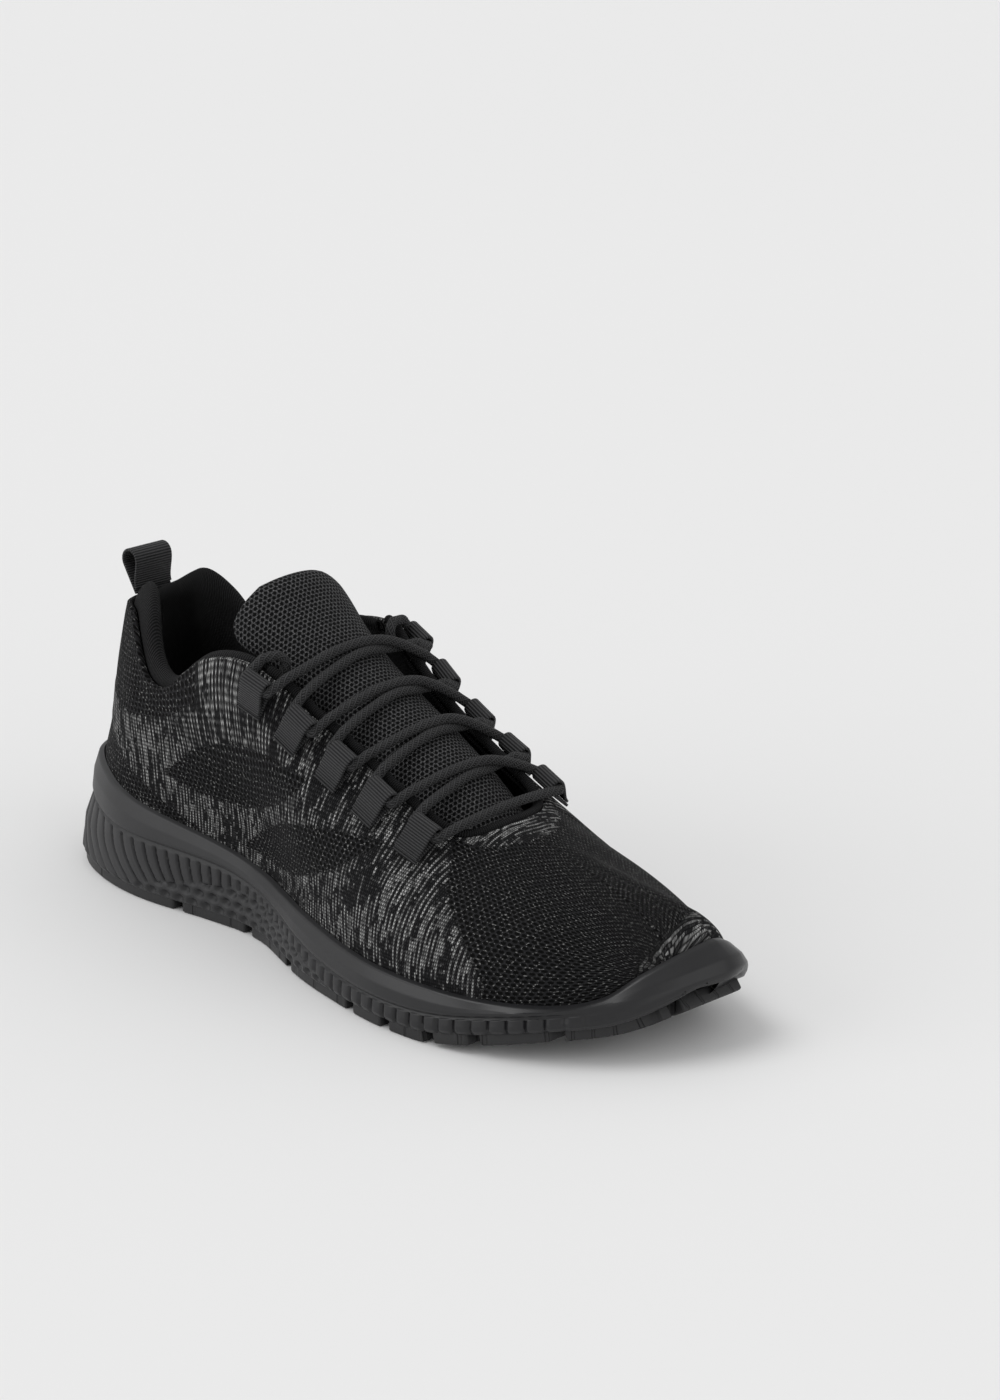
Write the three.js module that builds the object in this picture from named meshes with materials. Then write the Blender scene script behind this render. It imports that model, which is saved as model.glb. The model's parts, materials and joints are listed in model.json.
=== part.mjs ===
// Running shoe for the right foot: a knitted upper on a one-piece foam sole, closed by an elastic cord.
// Millimetres. X runs from heel to toe, Y towards the inner (medial) side of the foot, Z up.
// The origin is on the ground, under the middle of the shoe.
import * as THREE from 'three';

// ---------------------------------------------------------------- driving dimensions
const SHOE_LENGTH = 300;        // heel flare to toe bumper
const SHOE_WIDTH = 107;         // across the ball of the foot
const TONGUE_HEIGHT = 127;      // ground to the top edge of the tongue

const FIT_GAP = 0.3;            // left between pieces that touch
const LAYER_GAP = 0.4;          // between curved layers, whose facets need a little more room

// Outsole
const PAD_THICKNESS = 3;
const PAD_GROOVE = 4;           // between neighbouring pads
const PAD_EDGE = 2;             // pads stay this far inside the sole's edge
const CENTRE_GROOVE = 6;        // along the middle
const FIRST_PAD_X = 13;
const LAST_PAD_X = 293;
const GROOVES_X = [80, 115, 148, 190, 209, 229, 246, 270];

// Layers inside the sole's cup and of the upper
const STROBEL_THICKNESS = 1.6;
const SOCK_THICKNESS = 3.5;
const SOCK_CLEARANCE = 1.2;     // sock liner to the lining round it
const KNIT_THICKNESS = 2.2;
const STIFFENER_THICKNESS = 1.2; // heel counter and toe puff
const LINING_THICKNESS = 0.9;

// Throat, lace loops and cord
const BINDING_DIAMETER = 3.6;
const BINDING_DEPTH = 1.6;      // its middle under the knit's outer face
const LOOPS_PER_SIDE = 5;
const FIRST_LOOP_X = 128;
const LAST_LOOP_X = 204;
const LOOP_WEBBING = 1.1;
const LOOP_WIDTH = 10.5;
const LOOP_LENGTH = 12;         // from the slit in the knit to the fold
const LOOP_SETBACK = 3.5;       // cord to the edge of the throat
const CORD_DIAMETER = 3.5;
const CORD_PLAY = 0.35;         // round the cord inside a lace loop
const CORD_EXIT = 0.15;         // straight cord beyond each side of a loop, besides its own radius
const CORD_EDGE_LIFT = 0.95;    // a run above the bound edge, besides the cord's diameter
const CORD_END_RISE = 2;        // more of it where the cord's ends turn in

// Tongue
const TONGUE_MESH_THICKNESS = 1.4;
const TONGUE_SIDE_SHIFT = -2;   // its middle line, towards the outer side

// Pull tab
const TAB_WIDTH = 17;
const TAB_WEBBING = 1.05;
const TAB_LENGTH = 11.5;
const TAB_OPENING = 3.4;        // radius of the finger loop
const TAB_LEAN = 33;            // degrees back from upright
const TAB_SIDE_SHIFT = 2;

// Fineness of the mesh
const STATIONS = 64;            // round the shoe, an even number
const PAD_STEP = 16;            // longest piece of a pad's side

// Places round the upper (see surfacePoint) where its layers begin and end
const COLLAR_END = 0.4375;      // collar lining on each side; the throat lies beyond
const FOAM_END = 0.385;
const SEAM_SHARE = 0.004;       // left between the collar lining and the vamp lining
const COUNTER_END = 0.1875;
const PUFF_START = 0.8125;
const COUNTER_RISE = 0.45;
const PUFF_RISE = 0.35;

// The tables below are drawn at these sizes and stretched to the driving ones.
const DRAWN = { length: 300, width: 107, height: 127 };
const STRETCH_X = SHOE_LENGTH / DRAWN.length;
const STRETCH_Y = SHOE_WIDTH / DRAWN.width;
const STRETCH_Z = TONGUE_HEIGHT / DRAWN.height;

// ---------------------------------------------------------------- smooth tables
// A smooth curve through rows of [key, value, value, ...], flat in slope beyond its ends.
function smoothTable(rows) {
  const slope = (from, to, column) => (to[column] - from[column]) / (to[0] - from[0]);
  return (key) => {
    let i = 0;
    while (i < rows.length - 2 && key > rows[i + 1][0]) i += 1;
    const a = rows[i];
    const b = rows[i + 1];
    const before = rows[Math.max(i - 1, 0)];
    const after = rows[Math.min(i + 2, rows.length - 1)];
    const span = b[0] - a[0];
    const t = THREE.MathUtils.clamp((key - a[0]) / span, 0, 1);
    return a.slice(1).map((start, k) => {
      const end = b[k + 1];
      const leave = slope(before, b, k + 1) * span;
      const arrive = slope(a, after, k + 1) * span;
      const ease = t * t * (3 - 2 * t);
      return start + (end - start) * ease
        + leave * t * (1 - t) * (1 - t) - arrive * t * t * (1 - t);
    });
  };
}

function heightTable(rows) {
  const table = smoothTable(rows);
  return (x) => table(x / STRETCH_X)[0] * STRETCH_Z;
}

function insetTable(rows) {
  const table = smoothTable(rows);
  return (x) => table(x / STRETCH_X)[0];
}

// ---------------------------------------------------------------- sole lines, by distance from the heel
const soleEdgeLine = heightTable([[0, 4], [6, 1.5], [16, 0], [222, 0], [236, 2], [250, 4.6], [268, 8.2],
  [284, 11], [292, 15], [298, 21]]);
const groundLine = (x) => Math.max(soleEdgeLine(x), 0);
const bandLine = heightTable([[0, 27.5], [45, 24.9], [100, 22.4], [122, 19.3], [144, 17.6], [174, 12],
  [200, 10.4], [227, 11], [256, 15.5], [286, 21], [300, 26.5]]);
const topLine = heightTable([[0, 43.5], [32, 41.5], [60, 37], [100, 30.6], [122, 26.8], [155, 25.4],
  [185, 22.3], [230, 20.7], [268, 21], [283, 24], [291, 31], [300, 37.5]]);
const bedLine = heightTable([[0, 34], [40, 32], [80, 26.5], [120, 20.5], [160, 16.5], [200, 13.6],
  [230, 13.2], [250, 14.2], [272, 16.4], [300, 21]]);
const topInset = insetTable([[0, 9.5], [20, 8.8], [50, 4.6], [80, 4], [270, 4], [288, 6], [300, 9]]);
const bandInset = insetTable([[0, 5.5], [20, 5], [50, 1.4], [80, 1], [280, 1], [300, 1.5]]);

// Outline of the sole, [x, y], from the back of the heel along the outer side, round the toe and back.
const OUTER_SIDE = [[0, 0], [3, -15], [10, -27], [20, -34.5], [35, -40], [50, -42.5], [65, -42.5],
  [95, -38], [112, -36.5], [125, -38], [140, -43], [156, -48.5], [175, -52.5], [205, -56], [235, -53],
  [250, -48], [262, -42], [273, -34], [283, -24], [291, -12], [296.5, 0], [299.5, 11]];
const TOE_TIP = [300, 19];
const INNER_SIDE = [[296, 29], [286, 37.5], [266, 46], [240, 50.5], [210, 51], [180, 46], [150, 38],
  [120, 33.5], [80, 35], [40, 36], [22, 33], [10, 26], [3, 15]];
const outlinePoints = [...OUTER_SIDE, TOE_TIP, ...INNER_SIDE]
  .map(([x, y]) => new THREE.Vector3(x * STRETCH_X, y * STRETCH_Y, 0));
const outline = new THREE.CatmullRomCurve3(outlinePoints, true, 'centripetal');
outline.arcLengthDivisions = 2000;
const toeShare = arcShareAt(OUTER_SIDE.length / outlinePoints.length);

// Share of the outline's length that lies before a curve parameter.
function arcShareAt(parameter) {
  const lengths = outline.getLengths();
  const whole = lengths[lengths.length - 1];
  return lengths[Math.round(parameter * (lengths.length - 1))] / whole;
}

// ---------------------------------------------------------------- the upper's surface
// A place round the shoe is a number: 0 at the back of the heel, 1 at the toe tip along the outer side,
// and 2 at the heel again along the inner side.
// Edge of the collar and the throat, [place, x, y, z].
const OUTER_EDGE = [[0, 19, 0, 99], [0.07, 22, -10, 99.5], [0.125, 28, -17, 100.3],
  [0.165, 36, -21.5, 99.5], [0.2, 45, -27, 92.5], [0.235, 54, -30.8, 82.5], [0.27, 64, -33, 80],
  [0.3, 73, -34.2, 83.2], [0.33, 83, -35.3, 91.2], [0.36, 94, -36.2, 98.3],
  [0.395, 108, -36.6, 102.6], [0.43, 121, -35.8, 102.8], [0.465, 133, -33.2, 97.6],
  [0.51, 148, -30.6, 88.8], [0.56, 165, -28.8, 81], [0.61, 185, -28.4, 72.2],
  [0.66, 202, -26.4, 64.4], [0.7, 210, -23, 61.2], [0.78, 214.5, -17, 61], [0.88, 217, -8, 62.4]];
const FRONT_EDGE = [1, 217.5, 0, 63];
const INNER_EDGE = [[1.09, 217, 7, 63], [1.18, 214.5, 14, 62.6], [1.255, 210, 19.6, 63],
  [1.3, 202, 22.4, 66.4], [1.35, 185, 23.8, 72.8], [1.41, 165, 25.2, 80.6], [1.46, 148, 26.3, 89.6],
  [1.505, 133, 29.2, 97.6], [1.545, 121, 31.6, 103], [1.585, 108, 32.2, 102.8],
  [1.62, 94, 32.8, 98.5], [1.655, 83, 32.6, 91.6], [1.69, 73, 32.2, 83.8], [1.725, 64, 31.5, 80.6],
  [1.76, 54, 29.8, 83], [1.795, 45, 26.5, 93], [1.835, 36, 21.5, 100], [1.88, 28, 17, 100.6],
  [1.93, 22, 10, 99.5]];
const edgeRows = [...OUTER_EDGE, FRONT_EDGE, ...INNER_EDGE];
const edgeTable = smoothTable([
  ...edgeRows.slice(-2).map(([w, ...rest]) => [w - 2, ...rest]),
  ...edgeRows,
  ...edgeRows.slice(0, 3).map(([w, ...rest]) => [w + 2, ...rest]),
]);

// Shape of each section, by distance along one side: the surface leaves the sole leaning in by `lean`,
// and reaches the edge along (forward, inward, up). The handles are shares of the section's height.
const sectionShape = smoothTable([
  // along, lean, forward, inward, up, low handle, high handle
  [0, 0.32, 0.3, 0, 0.95, 0.3, 0.33],
  [0.15, 0.2, 0.14, 0.24, 0.96, 0.33, 0.33],
  [0.27, 0.1, 0, 0.12, 0.99, 0.35, 0.33],
  [0.42, 0.05, 0, 0.3, 0.95, 0.38, 0.33],
  [0.5, 0, 0, 0.56, 0.83, 0.4, 0.34],
  [0.66, -0.08, -0.12, 0.7, 0.7, 0.42, 0.36],
  [0.74, -0.02, -0.6, 0.5, 0.6, 0.42, 0.4],
  [0.82, 0.05, -0.88, 0.25, 0.4, 0.36, 0.42],
  [0.9, 0.2, -0.94, 0.08, 0.32, 0.26, 0.46],
  [1, 0.45, -0.96, 0, 0.28, 0.15, 0.5],
]);

function wrapPlace(place) {
  return ((place % 2) + 2) % 2;
}

function alongSide(place) {
  const w = wrapPlace(place);
  return w <= 1 ? w : 2 - w;
}

// Point of the sole's outline with its outward direction.
function outlineAt(place) {
  const w = wrapPlace(place);
  const share = w <= 1 ? w * toeShare : toeShare + (w - 1) * (1 - toeShare);
  const point = outline.getPointAt(Math.min(share, 1));
  const tangent = outline.getTangentAt(Math.min(share, 1));
  return { point, outward: new THREE.Vector3(tangent.y, -tangent.x, 0).normalize() };
}

// Point at an inset from the outline and a height.
function solePoint(place, inset, z) {
  const { point, outward } = outlineAt(place);
  return new THREE.Vector3(point.x - outward.x * inset, point.y - outward.y * inset, z);
}

function featherPoint(place) {
  const { x } = outlineAt(place).point;
  return solePoint(place, topInset(x) + FIT_GAP, topLine(x));
}

function edgePoint(place) {
  const [x, y, z] = edgeTable(wrapPlace(place));
  return new THREE.Vector3(x * STRETCH_X, y * STRETCH_Y, z * STRETCH_Z);
}

function edgeDirection(place) {
  const [, forward, inward, up] = sectionShape(alongSide(place));
  const side = wrapPlace(place) <= 1 ? 1 : -1;
  return new THREE.Vector3(forward, inward * side, up).normalize();
}

// The outer surface: `rise` runs from -1 in the sole's cup, through 0 at its lip, to 1 at the edge.
function surfacePoint(place, rise) {
  const low = featherPoint(place);
  const { point, outward } = outlineAt(place);
  if (rise < 0) {
    const bottom = bedLine(point.x) + FIT_GAP;
    return low.setZ(THREE.MathUtils.lerp(low.z, bottom, -rise));
  }
  const [lean, , , , lowHandle, highHandle] = sectionShape(alongSide(place));
  const high = edgePoint(place);
  const reach = low.distanceTo(high);
  const leave = new THREE.Vector3(-outward.x * lean, -outward.y * lean, 1).normalize();
  const lowControl = low.clone().addScaledVector(leave, reach * lowHandle);
  const highControl = high.clone().addScaledVector(edgeDirection(place), -reach * highHandle);
  return new THREE.CubicBezierCurve3(low, lowControl, highControl, high).getPoint(rise);
}

function surfaceNormal(place, rise) {
  if (rise < 0) return outlineAt(place).outward;
  const step = 0.004;
  const low = Math.max(rise - step, 0);
  const high = Math.min(rise + step, 1);
  const forward = surfacePoint(place + step, rise).sub(surfacePoint(place - step, rise));
  const upward = surfacePoint(place, high).sub(surfacePoint(place, low));
  return forward.cross(upward).normalize();
}

// A point at a depth under the outer surface.
function underSurface(place, rise, depth) {
  return surfacePoint(place, rise).addScaledVector(surfaceNormal(place, rise), -depth);
}

// ---------------------------------------------------------------- solids from grids of points
function triangleSolid(points, triangles) {
  let volume = 0;
  for (const [a, b, c] of triangles) {
    volume += points[a].dot(new THREE.Vector3().crossVectors(points[b], points[c]));
  }
  const outward = volume < 0 ? triangles.map(([a, b, c]) => [a, c, b]) : triangles;
  const coordinates = points.flatMap((point) => point.toArray());
  const geometry = new THREE.BufferGeometry();
  geometry.setAttribute('position', new THREE.Float32BufferAttribute(coordinates, 3));
  geometry.setIndex(outward.flat());
  geometry.computeVertexNormals();
  return geometry;
}

// A sheet with two faces, each a grid of rows of points. A closed sheet joins its last row to its first.
function sheetSolid(front, back, closed = false) {
  const rows = front.length;
  const columns = front[0].length;
  const points = [...front.flat(), ...back.flat()];
  const frontAt = (i, j) => (i % rows) * columns + j;
  const backAt = (i, j) => rows * columns + frontAt(i, j);
  const triangles = [];
  const quad = (a, b, c, d) => triangles.push([a, b, c], [a, c, d]);
  for (let i = 0; i < (closed ? rows : rows - 1); i += 1) {
    for (let j = 0; j < columns - 1; j += 1) {
      quad(frontAt(i, j), frontAt(i + 1, j), frontAt(i + 1, j + 1), frontAt(i, j + 1));
      quad(backAt(i, j), backAt(i, j + 1), backAt(i + 1, j + 1), backAt(i + 1, j));
    }
    const top = columns - 1;
    quad(frontAt(i, 0), backAt(i, 0), backAt(i + 1, 0), frontAt(i + 1, 0));
    quad(frontAt(i, top), frontAt(i + 1, top), backAt(i + 1, top), backAt(i, top));
  }
  if (!closed) {
    for (let j = 0; j < columns - 1; j += 1) {
      const last = rows - 1;
      quad(frontAt(0, j), frontAt(0, j + 1), backAt(0, j + 1), backAt(0, j));
      quad(frontAt(last, j), backAt(last, j), backAt(last, j + 1), frontAt(last, j + 1));
    }
  }
  return triangleSolid(points, triangles);
}

// A stack of closed rings round the shoe, from the bottom up, closed across its first and last ring.
function ringSolid(rings) {
  const count = rings[0].length;
  const points = rings.flat();
  const triangles = [];
  for (let r = 0; r < rings.length - 1; r += 1) {
    for (let k = 0; k < count; k += 1) {
      const next = (k + 1) % count;
      const low = r * count;
      const high = low + count;
      triangles.push([low + k, low + next, high + next], [low + k, high + next, high + k]);
    }
  }
  closeAcross(triangles, 0, count, true);
  closeAcross(triangles, (rings.length - 1) * count, count, false);
  return triangleSolid(points, triangles);
}

// Rungs between the outer and the inner side of one ring.
function closeAcross(triangles, start, count, facingDown) {
  const half = count / 2;
  const add = (a, b, c) => {
    const corners = [start + a, start + b, start + c];
    triangles.push(facingDown ? corners.reverse() : corners);
  };
  add(0, 1, count - 1);
  for (let k = 1; k < half - 1; k += 1) {
    add(k, k + 1, count - k - 1);
    add(k, count - k - 1, count - k);
  }
  add(half - 1, half, half + 1);
}

function placesRound() {
  return Array.from({ length: STATIONS }, (_, k) => (2 * k) / STATIONS);
}

// Places shared by every layer of the upper, from one end to the other.
function placesBetween(start, end) {
  const spacing = 2 / STATIONS;
  const first = Math.floor(start / spacing + 0.2) + 1;
  const last = Math.ceil(end / spacing - 0.2) - 1;
  const inside = Array.from({ length: last - first + 1 }, (_, k) => (first + k) * spacing);
  return [start, ...inside, end];
}

function evenSteps(start, end, count) {
  return Array.from({ length: count + 1 }, (_, k) => THREE.MathUtils.lerp(start, end, k / count));
}

// A ring at an inset and a height, each a function of the distance from the heel.
function soleRing(inset, height) {
  return placesRound().map((place) => {
    const { x } = outlineAt(place).point;
    return solePoint(place, inset(x), height(x));
  });
}

// ---------------------------------------------------------------- sole
const midsoleBottom = (x) => groundLine(x) + PAD_THICKNESS + FIT_GAP;
const between = (low, high, part) => (x) => THREE.MathUtils.lerp(low(x), high(x), part);

function midsoleGeometry() {
  return ringSolid([
    soleRing(() => 3, midsoleBottom),
    soleRing(() => 0.3, (x) => midsoleBottom(x) + 2.5),
    soleRing((x) => bandInset(x) * 0.35, between(midsoleBottom, bandLine, 0.6)),
    soleRing(bandInset, bandLine),
    soleRing((x) => bandInset(x) - 0.9, (x) => bandLine(x) + 1.6),
    soleRing((x) => (bandInset(x) + topInset(x)) / 2 - 2.1, between(bandLine, topLine, 0.55)),
    soleRing((x) => topInset(x) - 2, (x) => topLine(x) - 1),
    soleRing(topInset, topLine),
    soleRing(topInset, bedLine),
  ]);
}

// Outline's y on one side (-1 outer, 1 inner) at a distance from the heel.
function outlineY(side, x) {
  let low = side < 0 ? 0 : 1;
  let high = low + 1;
  for (let step = 0; step < 30; step += 1) {
    const middle = (low + high) / 2;
    const beyond = outlineAt(middle).point.x > x;
    if (beyond === (side < 0)) high = middle;
    else low = middle;
  }
  return outlineAt((low + high) / 2).point.y;
}

function padGeometry(side, start, end) {
  const across = 3;
  const lengthwise = Math.ceil((end - start) / PAD_STEP);
  const rows = evenSteps(start, end, lengthwise).map((x) => {
    const inner = (side * CENTRE_GROOVE) / 2;
    const outer = outlineY(side, x) - side * PAD_EDGE;
    return evenSteps(inner, outer, across).map((y) => new THREE.Vector3(x, y, groundLine(x)));
  });
  const raised = rows.map((row) => row.map((p) => p.clone().setZ(p.z + PAD_THICKNESS)));
  return sheetSolid(raised, rows);
}

function boardGeometry(inset, lift, thickness) {
  const fullInset = (x) => topInset(x) + inset;
  return ringSolid([
    soleRing(fullInset, (x) => bedLine(x) + lift),
    soleRing(fullInset, (x) => bedLine(x) + lift + thickness),
  ]);
}

const STROBEL_INSET = KNIT_THICKNESS + 2 * FIT_GAP;
const STROBEL_TOP = FIT_GAP + STROBEL_THICKNESS;

// ---------------------------------------------------------------- layers of the upper
const STIFFENER_DEPTH = KNIT_THICKNESS + LAYER_GAP;
const LINING_DEPTH = STIFFENER_DEPTH + STIFFENER_THICKNESS + LAYER_GAP;
const SOCK_INSET = FIT_GAP + LINING_DEPTH + LINING_THICKNESS + SOCK_CLEARANCE;
const KNIT_RISES = [-1, 0, 0.08, 0.18, 0.3, 0.42, 0.54, 0.66, 0.78, 0.9, 1];
const WALL_RISES = [-0.5, ...KNIT_RISES.slice(1, -1), 0.97];

// Padding of the collar by distance along a side: [along, bulge, height of the roll over the edge].
const collarPadding = smoothTable([[0, 4.2, 2.6], [0.07, 4.6, 5], [0.15, 5, 9.6], [0.2, 5, 8.4],
  [0.27, 4.4, 4], [0.33, 2.6, 2.6], [0.38, 1.6, 2], [0.44, 0.8, 1.2]]);

function sheetLayer(places, rises, outerDepth, innerDepth, closed = false) {
  const face = (depth) => places.map((place) => rises.map((rise) => underSurface(place, rise, depth)));
  return sheetSolid(face(outerDepth), face(innerDepth), closed);
}

function knitGeometry() {
  return sheetLayer(placesRound(), KNIT_RISES, 0, KNIT_THICKNESS, true);
}

function stiffenerGeometry(start, end, highRise) {
  const rises = KNIT_RISES.filter((rise) => rise >= 0 && rise <= highRise);
  const innerDepth = STIFFENER_DEPTH + STIFFENER_THICKNESS;
  return sheetLayer(placesBetween(start, end), rises, STIFFENER_DEPTH, innerDepth);
}

function vampLiningGeometry() {
  const start = COLLAR_END + SEAM_SHARE;
  const places = placesBetween(start, 2 - start);
  return sheetLayer(places, WALL_RISES, LINING_DEPTH, LINING_DEPTH + LINING_THICKNESS);
}

// Depth of the collar lining's outer face: it swells over the padding towards the edge.
function collarDepth(place, rise) {
  const [bulge] = collarPadding(alongSide(place));
  return LINING_DEPTH + bulge * THREE.MathUtils.smoothstep(rise, 0.4, 0.82);
}

// A point of the roll over the collar's edge, by its angle from the foot side to the knit side.
function rollPoint(place, angle, thickness) {
  const [, height] = collarPadding(alongSide(place));
  const depth = collarDepth(place, 1);
  const radius = (depth - STIFFENER_DEPTH - LINING_THICKNESS) / 2;
  const centre = depth - radius;
  const lift = Math.sin(angle) * (height + thickness);
  const sideways = centre + Math.cos(angle) * (radius + thickness);
  return underSurface(place, 1, sideways).addScaledVector(edgeDirection(place), lift);
}

function collarLiningGeometry() {
  const places = placesBetween(-COLLAR_END, COLLAR_END);
  const angles = evenSteps(0, Math.PI, 6);
  const face = (thickness) => places.map((place) => [
    ...WALL_RISES.map((rise) => underSurface(place, rise, collarDepth(place, rise) + thickness)),
    ...angles.map((angle) => rollPoint(place, angle, thickness)),
  ]);
  return sheetSolid(face(0), face(LINING_THICKNESS));
}

function collarFoamGeometry() {
  const places = placesBetween(-FOAM_END, FOAM_END);
  const rises = WALL_RISES.filter((rise) => rise > 0.5);
  const clear = -LAYER_GAP;
  const frontDepth = STIFFENER_DEPTH + LINING_THICKNESS + LAYER_GAP;
  const front = places.map((place) => [
    ...rises.map((rise) => underSurface(place, rise, frontDepth)),
    ...[180, 150, 115].map((degrees) => rollPoint(place, THREE.MathUtils.degToRad(degrees), clear)),
  ]);
  const back = places.map((place) => [
    ...rises.map((rise) => underSurface(place, rise, collarDepth(place, rise) - LAYER_GAP)),
    ...[0, 30, 65].map((degrees) => rollPoint(place, THREE.MathUtils.degToRad(degrees), clear)),
  ]);
  return sheetSolid(front, back);
}

// ---------------------------------------------------------------- cords
// A route whose steps are exactly its points, so that a cord bends where it should.
class PointRoute extends THREE.Curve {
  constructor(points) {
    super();
    this.points = points;
  }

  getPoint(t) {
    const last = this.points.length - 1;
    const index = THREE.MathUtils.clamp(t, 0, 1) * last;
    const start = Math.min(Math.floor(index), last - 1);
    return this.points[start].clone().lerp(this.points[start + 1], index - start);
  }

  getPointAt(t) {
    return this.getPoint(t);
  }

  getTangentAt(t) {
    const step = 0.5 / (this.points.length - 1);
    return this.getPoint(t + step).sub(this.getPoint(t - step)).normalize();
  }
}

function cordGeometry(points, diameter) {
  const section = new THREE.Shape();
  section.absarc(0, 0, diameter / 2, 0, 2 * Math.PI);
  return new THREE.ExtrudeGeometry(section, {
    steps: points.length - 1,
    curveSegments: 4,
    extrudePath: new PointRoute(points),
  });
}

function bindingGeometry() {
  const radius = BINDING_DIAMETER / 2;
  const start = COLLAR_END + 2 * SEAM_SHARE;
  const points = placesBetween(start, 2 - start).map((place) => (
    underSurface(place, 1, BINDING_DEPTH).addScaledVector(edgeDirection(place), radius + LAYER_GAP)
  ));
  return cordGeometry(points, BINDING_DIAMETER);
}

// ---------------------------------------------------------------- webbing loops
// Side view of a webbing loop: one flat leg along X from the stitched end, and a round fold.
function webbingLoop(length, opening, webbing, width) {
  const radius = opening + webbing;
  const stitched = 2 * webbing;
  const shape = new THREE.Shape();
  shape.moveTo(0, 0);
  shape.lineTo(length, 0);
  shape.absarc(length, radius, radius, -Math.PI / 2, Math.PI / 2);
  shape.lineTo(0, stitched);
  shape.closePath();
  const hole = new THREE.Path();
  const start = length * 0.3;
  hole.moveTo(start, webbing);
  hole.lineTo(length, webbing);
  hole.absarc(length, radius, opening, -Math.PI / 2, Math.PI / 2);
  hole.lineTo(start, webbing + 0.5);
  hole.closePath();
  shape.holes.push(hole);
  const settings = { depth: width, bevelEnabled: false, curveSegments: 6 };
  return new THREE.ExtrudeGeometry(shape, settings).translate(0, 0, -width / 2);
}

const CORD_TUNNEL = CORD_DIAMETER / 2 + CORD_PLAY;
const cordHeight = FIT_GAP + LOOP_WEBBING + CORD_TUNNEL;

// Place round the shoe where the edge of the throat reaches a distance from the heel.
function throatPlace(side, x, pointAt = edgePoint) {
  let low = side < 0 ? COLLAR_END - 0.08 : 1.25;
  let high = side < 0 ? 0.75 : 2 - COLLAR_END + 0.08;
  for (let step = 0; step < 30; step += 1) {
    const middle = (low + high) / 2;
    const beyond = pointAt(middle).x > x;
    if (beyond === (side < 0)) high = middle;
    else low = middle;
  }
  return (low + high) / 2;
}

// Frame of a lace loop: its cord's centre, and the directions towards the throat, out of the knit
// and towards the toe.
function loopFrameAt(side, place) {
  const reach = surfacePoint(place, 0.8).distanceTo(edgePoint(place)) / 0.2;
  const rise = 1 - (LOOP_SETBACK + LOOP_LENGTH / 2) / reach;
  const middle = surfacePoint(place, rise);
  const outward = surfaceNormal(place, rise);
  const ahead = edgePoint(place + 0.02).sub(edgePoint(place - 0.02)).multiplyScalar(side < 0 ? 1 : -1);
  const toeward = ahead.addScaledVector(outward, -ahead.dot(outward)).normalize();
  const inward = new THREE.Vector3().crossVectors(outward, toeward).multiplyScalar(side < 0 ? 1 : -1);
  const foot = middle.addScaledVector(outward, FIT_GAP).addScaledVector(inward, -LOOP_LENGTH / 2);
  const fold = foot.clone().addScaledVector(inward, LOOP_LENGTH);
  const cord = fold.addScaledVector(outward, cordHeight - FIT_GAP);
  return { foot, cord, inward, outward, toeward };
}

function loopFrame(side, index) {
  const x = THREE.MathUtils.lerp(FIRST_LOOP_X, LAST_LOOP_X, index / (LOOPS_PER_SIDE - 1)) * STRETCH_X;
  return loopFrameAt(side, throatPlace(side, x, (place) => loopFrameAt(side, place).cord));
}

// ---------------------------------------------------------------- tongue
// Half width and radius of the arch, from the stitched base to the top.
const tongueArch = smoothTable([[0, 17.5, 29], [0.15, 19.6, 29], [0.5, 21.8, 30], [0.75, 23, 31],
  [0.84, 25.6, 32], [0.9, 28, 33], [0.95, 27, 33], [0.98, 22, 33], [1, 15, 33]]);
const tongueFoam = smoothTable([[0, 1.4], [0.12, 2.4], [0.3, 5.5], [0.8, 6.5], [0.95, 4], [1, 2]]);
const TONGUE_MIDDLE_Y = TONGUE_SIDE_SHIFT * STRETCH_Y;
const CREST = [[226, 51.5], [217, 55.6], [211, 60.4], [204, 66.2], [195, 72.4], [182, 79.6], [165, 88.2],
  [147, 97.5], [134, 105], [122, 113.2], [113, 120.6], [106, 127]];
const crest = new THREE.CatmullRomCurve3(
  CREST.map(([x, z]) => new THREE.Vector3(x * STRETCH_X, TONGUE_MIDDLE_Y, z * STRETCH_Z)),
);

function tongueSection(along) {
  const [halfWidth, radius] = tongueArch(along).map((size) => size * STRETCH_Y);
  return { radius, halfAngle: Math.asin(halfWidth / radius) };
}

// A point of the tongue: `along` from its stitched base to its top, `across` from -1 to 1.
function tonguePoint(along, across, depth) {
  const { radius, halfAngle } = tongueSection(along);
  const point = crest.getPointAt(along);
  const tangent = crest.getTangentAt(along);
  const inward = new THREE.Vector3(-tangent.z, 0, tangent.x);
  const angle = across * halfAngle;
  point.y += Math.sin(angle) * (radius - depth);
  return point.addScaledVector(inward, radius - (radius - depth) * Math.cos(angle));
}

function tongueLayer(outerDepth, innerDepth) {
  const alongs = [...evenSteps(0, 0.88, 12), 0.94, 0.975, 1];
  const face = (depth) => alongs.map((along) => (
    evenSteps(-1, 1, 8).map((across) => tonguePoint(along, across, depth(along)))
  ));
  return sheetSolid(face(outerDepth), face(innerDepth));
}

const foamTop = TONGUE_MESH_THICKNESS + LAYER_GAP;
const foamBottom = (along) => foamTop + tongueFoam(along)[0];

// ---------------------------------------------------------------- lace
// A point over the tongue's outer face, at a distance from the heel and from the middle.
function overTongue(x, y, lift) {
  let nearest = null;
  for (let along = 0.04; along <= 0.98; along += 0.004) {
    const { radius, halfAngle } = tongueSection(along);
    const angle = Math.asin((y - TONGUE_MIDDLE_Y) / (radius + lift));
    const point = tonguePoint(along, angle / halfAngle, -lift);
    if (nearest === null || Math.abs(point.x - x) < Math.abs(nearest.x - x)) nearest = point;
  }
  return nearest;
}

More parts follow.
